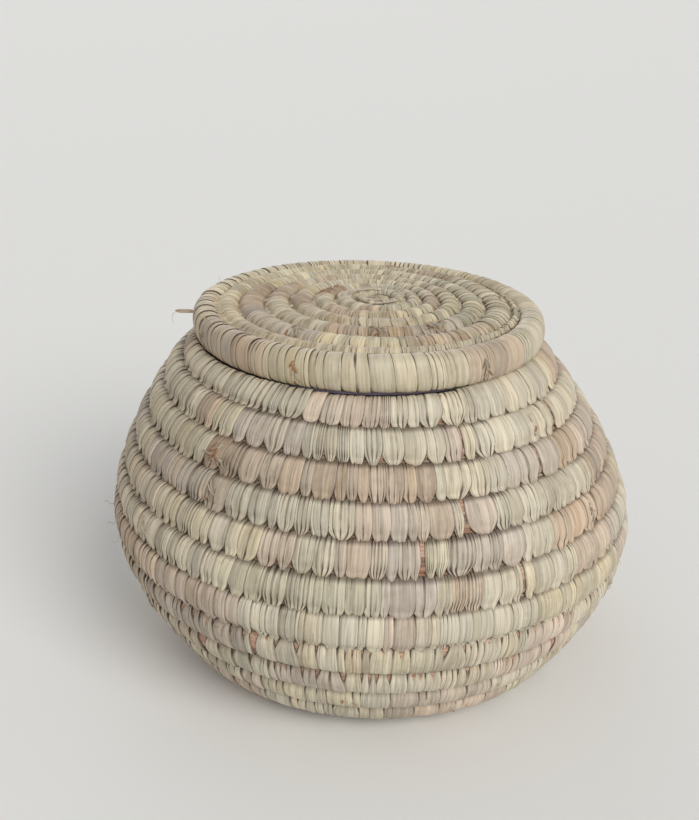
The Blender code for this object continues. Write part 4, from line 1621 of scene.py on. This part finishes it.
RIM_HAIRS = (
    (-94.0, ((0.0, -1.0, 7.0), (-0.5, -0.8, 13.0), (-1.0, -1.2, 19.0), (-1.5, -1.4, 24.0)), 2.6, Hue.TAN),
    (-93.0, ((-1.0, -1.0, 18.0), (-1.0, -1.5, 25.0), (-1.5, -6.0, 26.5), (-1.0, -10.0, 25.5)), 0.5,
     Hue.COOL),
    (-118.0, ((0.0, 6.0, 7.5), (-1.0, 7.5, 11.0), (-3.0, 9.5, 13.0), (-5.0, 9.0, 15.0)), 0.5, Hue.COOL),
    (-70.0, ((0.0, 9.5, 3.0), (2.0, 12.0, 5.0), (5.0, 12.5, 6.0), (9.0, 11.0, 7.0)), 1.3, Hue.ORANGE))
RIM_BUNCHES = [Bunch(*entry) for entry in (
    (0, -180, -75, Hue.YELLOW), (0, -75, -52, Hue.LILAC), (0, -52, -38, Hue.TAN), (0, -38, -20, Hue.YELLOW),
    (0, -20, 30, Hue.CREAM), (0, 30, 52, Hue.PINK), (0, 52, 90, Hue.CREAM), (0, 90, 180, Hue.YELLOW))]


@dataclass
class Lid:
    """The lid: its coiled disc, the knot near its middle, its fat rim and the ring in the mouth."""

    stance: Stance
    mouth_radius: float = 0.1100
    overhang: float = 0.0073
    rim_width: float = 0.0180
    rim_height: float = 0.0225
    thickness: float = 0.0140
    disc_rise: float = 0.0005
    dome: float = 0.0045
    edge_turn: float = 0.0196
    start_turn: float = 0.0105
    knot_radius: float = 0.0070
    offset: float = 0.0030
    knot_drift: float = 0.0090
    drift_power: float = 2.5
    joint_gap: float = 0.0003
    locator_width: float = 0.0120
    locator_depth: float = 0.0210
    end_share: float = 0.60

    def __post_init__(self) -> None:
        """Works out the lid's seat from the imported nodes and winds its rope."""
        self.rim_radius = self.mouth_radius + self.overhang - self.rim_width / 2
        self.disc_radius = self.rim_radius - self.rim_width / 2 - self.joint_gap
        self.rim_low = self._upright_height("lid_rim", self.rim_radius) - self.rim_height / 2
        edge = self.rim_low + self.rim_height + self.disc_rise - self.thickness / 2
        shares = np.linspace(0, 1, Profile.STEPS)
        profile = Profile([(self.disc_radius * share, edge + self.dome * (1 - share ** 2))
                           for share in shares])
        self.rope = Rope(self.stance, profile, self.knot_radius,
                         lambda length: np.interp(length, [self.knot_radius, profile.total],
                                                  [self.start_turn, self.edge_turn]),
                         lambda length: self.thickness + 0 * length, self.end_share, -1, face=-1,
                         section=2.0,
                         shift=self.shift, thinning=0.12)

    def shift(self, radius: Array) -> Array:
        """Sideways shift of the lid at some radii: its offset and, near the middle, the knot's drift."""
        inwards = np.maximum(1 - radius / self.disc_radius, 0.0)
        return self.offset + self.knot_drift * inwards ** self.drift_power

    def _upright_height(self, node: str, radius: float) -> float:
        """Height over the floor of a ring's middle before the mouth's tilt, from its packed corners."""
        middle = packed_corners(node).mean(axis=0)
        test = np.linspace(0.2, 0.26, 601)
        spots = self.stance.place(0 * test, 0 * test, test, self.offset + 0 * test)
        return float(np.interp(middle[2], spots[:, 2], test))

    def build(self, finishes: Finishes) -> None:
        """Builds and dresses the lid.

        Args:
            finishes: the materials.
        """
        rope = self.rope
        last = rope.turns + 1.0
        style = StitchStyle(start=math.radians(104.0), leave=math.radians(-60.0), reach=1.2 * MM,
                            reach_spread=0.4 * MM, fork=0.4 * MM, dive=0.9 * MM, tip_share=0.4,
                            tip_power=3.0,
                            taper_from=-0.35, top_share=0.8, top_from=0.2, width=7.6 * MM,
                            width_spread=1.8 * MM,
                            narrow=4.6 * MM, narrow_chance=0.25, overlap=1.16, shingle=0.8 * MM,
                            camber=0.8 * MM,
                            pleat=0.4 * MM, pleats=(1, 1, 2, 3), lobes=(1, 1, 1, 2), notch_rows=1.6,
                            round_rows=1.0,
                            skew=1.3 * MM, loose=0.3 * MM, outward=0.1 * MM)
        under = replace(style, start=math.radians(262.0), leave=math.radians(96.0), tip_share=1.0,
                        top_share=1.0,
                        lobes=(1,), round_rows=0.0, outward=-0.1 * MM, skew=0.0, shingle=0.35 * MM)
        chart = HueChart(LID_BUNCHES, LID_COMMON, seed=14)
        outer = replace(style, reach=4.2 * MM, reach_spread=0.6 * MM, leave=math.radians(-46.0),
                        tip_share=0.5,
                        swell=0.9 * MM, swell_at=math.radians(-42.0), width=8.6 * MM, tip_shadow=0.0)
        run = lay_run(rope, 0.05, last - 0.3, lambda row, degrees: outer if row <= 1 else style, chart, 24)
        layer = StitchLayer(rope, 34)
        row = np.round(run.turn + self.end_share).astype(int)
        for number in range(row.min(), row.max() + 1):
            mesh = TubeMesh(layer.ribbons(run.part(row == number)))
            settle_piece(mesh.build(f"lid_wrap_{number}"), "lid", finishes.lid, "palm_leaf", "lid_coil")
        below = lay_run(rope, 0.3, last - 0.6, lambda row, degrees: under, HueChart([], COMMON, 18), 28)
        mesh = TubeMesh(StitchLayer(rope, 38).ribbons(below))
        settle_piece(mesh.build("lid_underside"), "lid", finishes.base, "palm_leaf", "lid_coil")
        mesh = TubeMesh()
        core_tube(mesh, rope, 0.1, last - 0.3, 0.9 * MM)
        settle_piece(mesh.build("lid_core"), "lid", finishes.fibre, "fibre_core", "lid_coil")
        hoop = self._rim(finishes)
        self._frays(hoop, finishes)
        self._locator(finishes)
        self._knot(finishes)

    def _frays(self, hoop: Hoop, finishes: Finishes) -> None:
        """Builds the torn leaf ends on the lid and the stiff strand that sticks out at its left.

        Args:
            hoop: the fat turn round the lid.
            finishes: the materials.
        """
        mesh = TubeMesh()
        for number, (row, degrees, count, spread, length) in enumerate(LID_FRAYS):
            hues = LID_PATCH_HUES if count > 30 else LID_TEAR_HUES
            torn = fray(self.rope, row, degrees, 200 + number, count, spread, length, hues=hues)
            add_shreds(mesh, self.rope, torn)
        for number, (degrees, count, spread, length) in enumerate(RIM_FRAYS):
            torn = fray(hoop, 0, degrees, 240 + number, count, spread, length, 0.35, LID_TEAR_HUES)
            add_shreds(mesh, hoop, torn)
        draw = np.random.default_rng(77)
        for _ in range(18):
            turn = self.rope.turns + draw.uniform(-0.75, 0.35)
            shift, bend = draw.uniform(-4.0, 3.5), draw.uniform(-1.5, 1.5)
            deep = float(self.rope.band(np.array(turn))[2]) / MM
            points = tuple((side, shift + bend * side / 10,
                            deep + draw.uniform(0.2, 0.9) - 0.012 * side ** 2)
                           for side in np.linspace(-9.0, 9.0, 7))
            hue = (Hue.LILAC, Hue.BEIGE, Hue.PINK, Hue.TAN, Hue.BROWN)[draw.integers(5)]
            add_shreds(mesh, self.rope, [Shred(turn, points, draw.uniform(1.6, 3.6), 0.35, hue)])
        for degrees, points, width, hue in RIM_HAIRS:
            turn = float(hoop.turn_at(0, degrees))
            add_shreds(mesh, hoop, [Shred(turn, points, width, 0.5 * width, hue, 0.4)])
        settle_piece(mesh.build("lid_frays"), "lid", finishes.lid, "palm_leaf")

    def _rim(self, finishes: Finishes) -> Hoop:
        """Builds the fat turn round the lid, with its wide smooth stitches, and returns its ring."""
        hoop = Hoop(self.stance, self.rim_radius, self.rim_low + self.rim_height / 2, self.rim_width / 2,
                    self.rim_height / 2, self.shift)
        style = StitchStyle(start=math.radians(200.0), leave=math.radians(-100.0), tip_share=1.0,
                            top_share=0.97,
                            width=9.6 * MM, width_spread=2.2 * MM, narrow=4.6 * MM, narrow_chance=0.14,
                            overlap=1.1,
                            lobes=(1,), swell=0.6 * MM, swell_at=math.radians(-58.0),
                            shingle=0.6 * MM, camber=0.5 * MM, pleat=0.16 * MM, pleats=(1, 1, 2, 3, 4),
                            skew=0.5 * MM, skew_spread=0.6 * MM, outward=0.05 * MM, scatter=0.08 * MM)
        run = lay_run(hoop, -0.5, 0.495, lambda row, degrees: style, HueChart(RIM_BUNCHES, COMMON, 15), 25)
        mesh = TubeMesh(StitchLayer(hoop, 35, wrap_rows=18).ribbons(run))
        settle_piece(mesh.build("rim_wrap"), "lid", finishes.rim, "palm_leaf_rim", "lid_rim")
        mesh = TubeMesh()
        core_tube(mesh, hoop, 0.0, 1.0, 0.8 * MM, per_turn=120)
        settle_piece(mesh.build("rim_core"), "lid", finishes.fibre, "fibre_core", "lid_rim")
        return hoop

    def _locator(self, finishes: Finishes) -> None:
        """Builds the ring under the lid, wrapped like the rest."""
        corners = packed_corners("lid_locating_ring")
        centre = corners.mean(axis=0)
        spread = np.hypot(corners[:, 0] - centre[0], corners[:, 1] - centre[1])
        far = float(spread.max()) - 0.4 * MM
        middle = self._upright_height("lid_locating_ring", 0.0)
        hoop = Hoop(self.stance, far - self.locator_width / 2, middle - 0.2 * MM, self.locator_width / 2,
                    self.locator_depth / 2 - 0.5 * MM, self.shift)
        style = StitchStyle(start=math.radians(180.0), leave=math.radians(-120.0), tip_share=1.0,
                            top_share=1.0,
                            width=8.0 * MM, narrow=5.0 * MM, shingle=0.3 * MM, camber=0.2 * MM,
                            pleat=0.1 * MM,
                            outward=-0.2 * MM, scatter=0.05 * MM)
        run = lay_run(hoop, -0.5, 0.495, lambda row, degrees: style, HueChart([], COMMON, 16), 26)
        mesh = TubeMesh(StitchLayer(hoop, 36).ribbons(run))
        core_tube(mesh, hoop, 0.0, 1.0, 0.9 * MM, per_turn=100)
        settle_piece(mesh.build("locator_wrap"), "lid", finishes.base, "palm_leaf_base", "lid_locating_ring")

    def _knot(self, finishes: Finishes) -> None:
        """Builds the knot where the lid's rope starts, a tight whirl of small stitches."""
        top = self.rope.profile.at(np.array(0.0))[1]
        hoop = Hoop(self.stance, self.knot_radius * 0.55, float(top) - 0.4 * MM, self.knot_radius * 0.45,
                    self.thickness / 2 - 0.3 * MM, self.shift)
        style = StitchStyle(start=math.radians(200.0), leave=math.radians(-110.0), tip_share=1.0,
                            top_share=1.0,
                            width=4.0 * MM, width_spread=0.6 * MM, narrow=3.4 * MM, shingle=0.4 * MM,
                            camber=0.25 * MM, pleat=0.12 * MM, skew=1.2 * MM)
        run = lay_run(hoop, 0.0, 0.98, lambda row, degrees: style, HueChart([], COMMON, 8), 9)
        mesh = TubeMesh(StitchLayer(hoop, 10).ribbons(run))
        core_tube(mesh, hoop, 0.0, 1.0, 0.5 * MM, per_turn=40)
        settle_piece(mesh.build("lid_knot_wrap"), "lid", finishes.lid, "palm_leaf", "lid_knot")


@dataclass(frozen=True)
class Studio:
    """Plain pale floor, soft light and the camera at the photograph's angle."""

    elevation: float = math.radians(25.5)
    distance: float = 0.907
    lens: float = 57.07
    target: tuple[float, float, float] = (-0.0155, 0.00022, 0.167)
    floor_size: float = 30.0

    def build(self) -> None:
        """Builds the floor, the light and the camera."""
        scene = bpy.context.scene
        self._floor()
        self._world()
        for name, place, softness, strength, tint in (
                ("key_light", (0.45, -0.65, 0.62), 34.0, 1.8, (1.0, 0.985, 0.95)),
                ("back_light", (-0.3, 1.0, 0.35), 50.0, 0.5, (1.0, 1.0, 1.0))):
            lamp = bpy.data.lights.new(name, "SUN")
            lamp.angle = math.radians(softness)
            lamp.energy = strength
            lamp.color = tint
            thing = bpy.data.objects.new(name, lamp)
            thing.location = place
            aim = -np.array(place)
            yaw, level = math.atan2(aim[1], aim[0]), math.hypot(aim[0], aim[1])
            thing.rotation_euler = (math.atan2(level, -aim[2]), 0.0, yaw - math.pi / 2)
            scene.collection.objects.link(thing)
        camera = bpy.data.cameras.new("camera")
        camera.lens = self.lens
        camera.clip_end = 20.0
        eye = bpy.data.objects.new("camera", camera)
        x, y, z = self.target
        back, up = self.distance * math.cos(self.elevation), self.distance * math.sin(self.elevation)
        eye.location = (x, y - back, z + up)
        eye.rotation_euler = (math.pi / 2 - self.elevation, 0.0, 0.0)
        scene.collection.objects.link(eye)
        scene.camera = eye
        scene.view_settings.view_transform = "Standard"

    def _floor(self) -> None:
        """Builds the floor, white where the light is full and with the basket's soft shadow."""
        half = self.floor_size / 2
        mesh = bpy.data.meshes.new("floor")
        mesh.from_pydata([(-half, -half, 0), (half, -half, 0), (half, half, 0), (-half, half, 0)], [],
                         [(0, 1, 2, 3)])
        floor = bpy.data.objects.new("floor", mesh)
        bpy.context.scene.collection.objects.link(floor)
        material, _, shader = start_material("pale_floor")
        shader.inputs["Base Color"].default_value = (0.82, 0.82, 0.81, 1.0)
        shader.inputs["Roughness"].default_value = 0.9
        mesh.materials.append(material)

    @staticmethod
    def _world() -> None:
        """Sets a soft even sky that the camera sees as white."""
        world = bpy.data.worlds.new("studio")
        world.use_nodes = True
        bpy.context.scene.world = world
        graph = Graph(world.node_tree)
        surface = world.node_tree.nodes["Background"]
        path = graph.node("LightPath")
        seen = graph.math("MAXIMUM", path.outputs["Is Camera Ray"],
                          graph.math("MAXIMUM", path.outputs["Is Glossy Ray"],
                                     path.outputs["Is Transmission Ray"]))
        graph.feed(surface.inputs["Color"], (1.0, 1.0, 1.0, 1.0))
        graph.feed(surface.inputs["Strength"], graph.math("ADD", graph.math("MULTIPLY", seen, 0.56), 0.44))


def main() -> None:
    """Builds the pieces in order, from the rope outwards."""
    logging.basicConfig(level=logging.INFO, format="%(message)s")
    stance = Stance.of_frame()
    finishes = Finishes.build()
    body = Body(stance)
    body.build(finishes)
    Lining(body).build(finishes)
    Lid(stance).build(finishes)
    Studio().build()


if __name__ == "__main__":
    main()
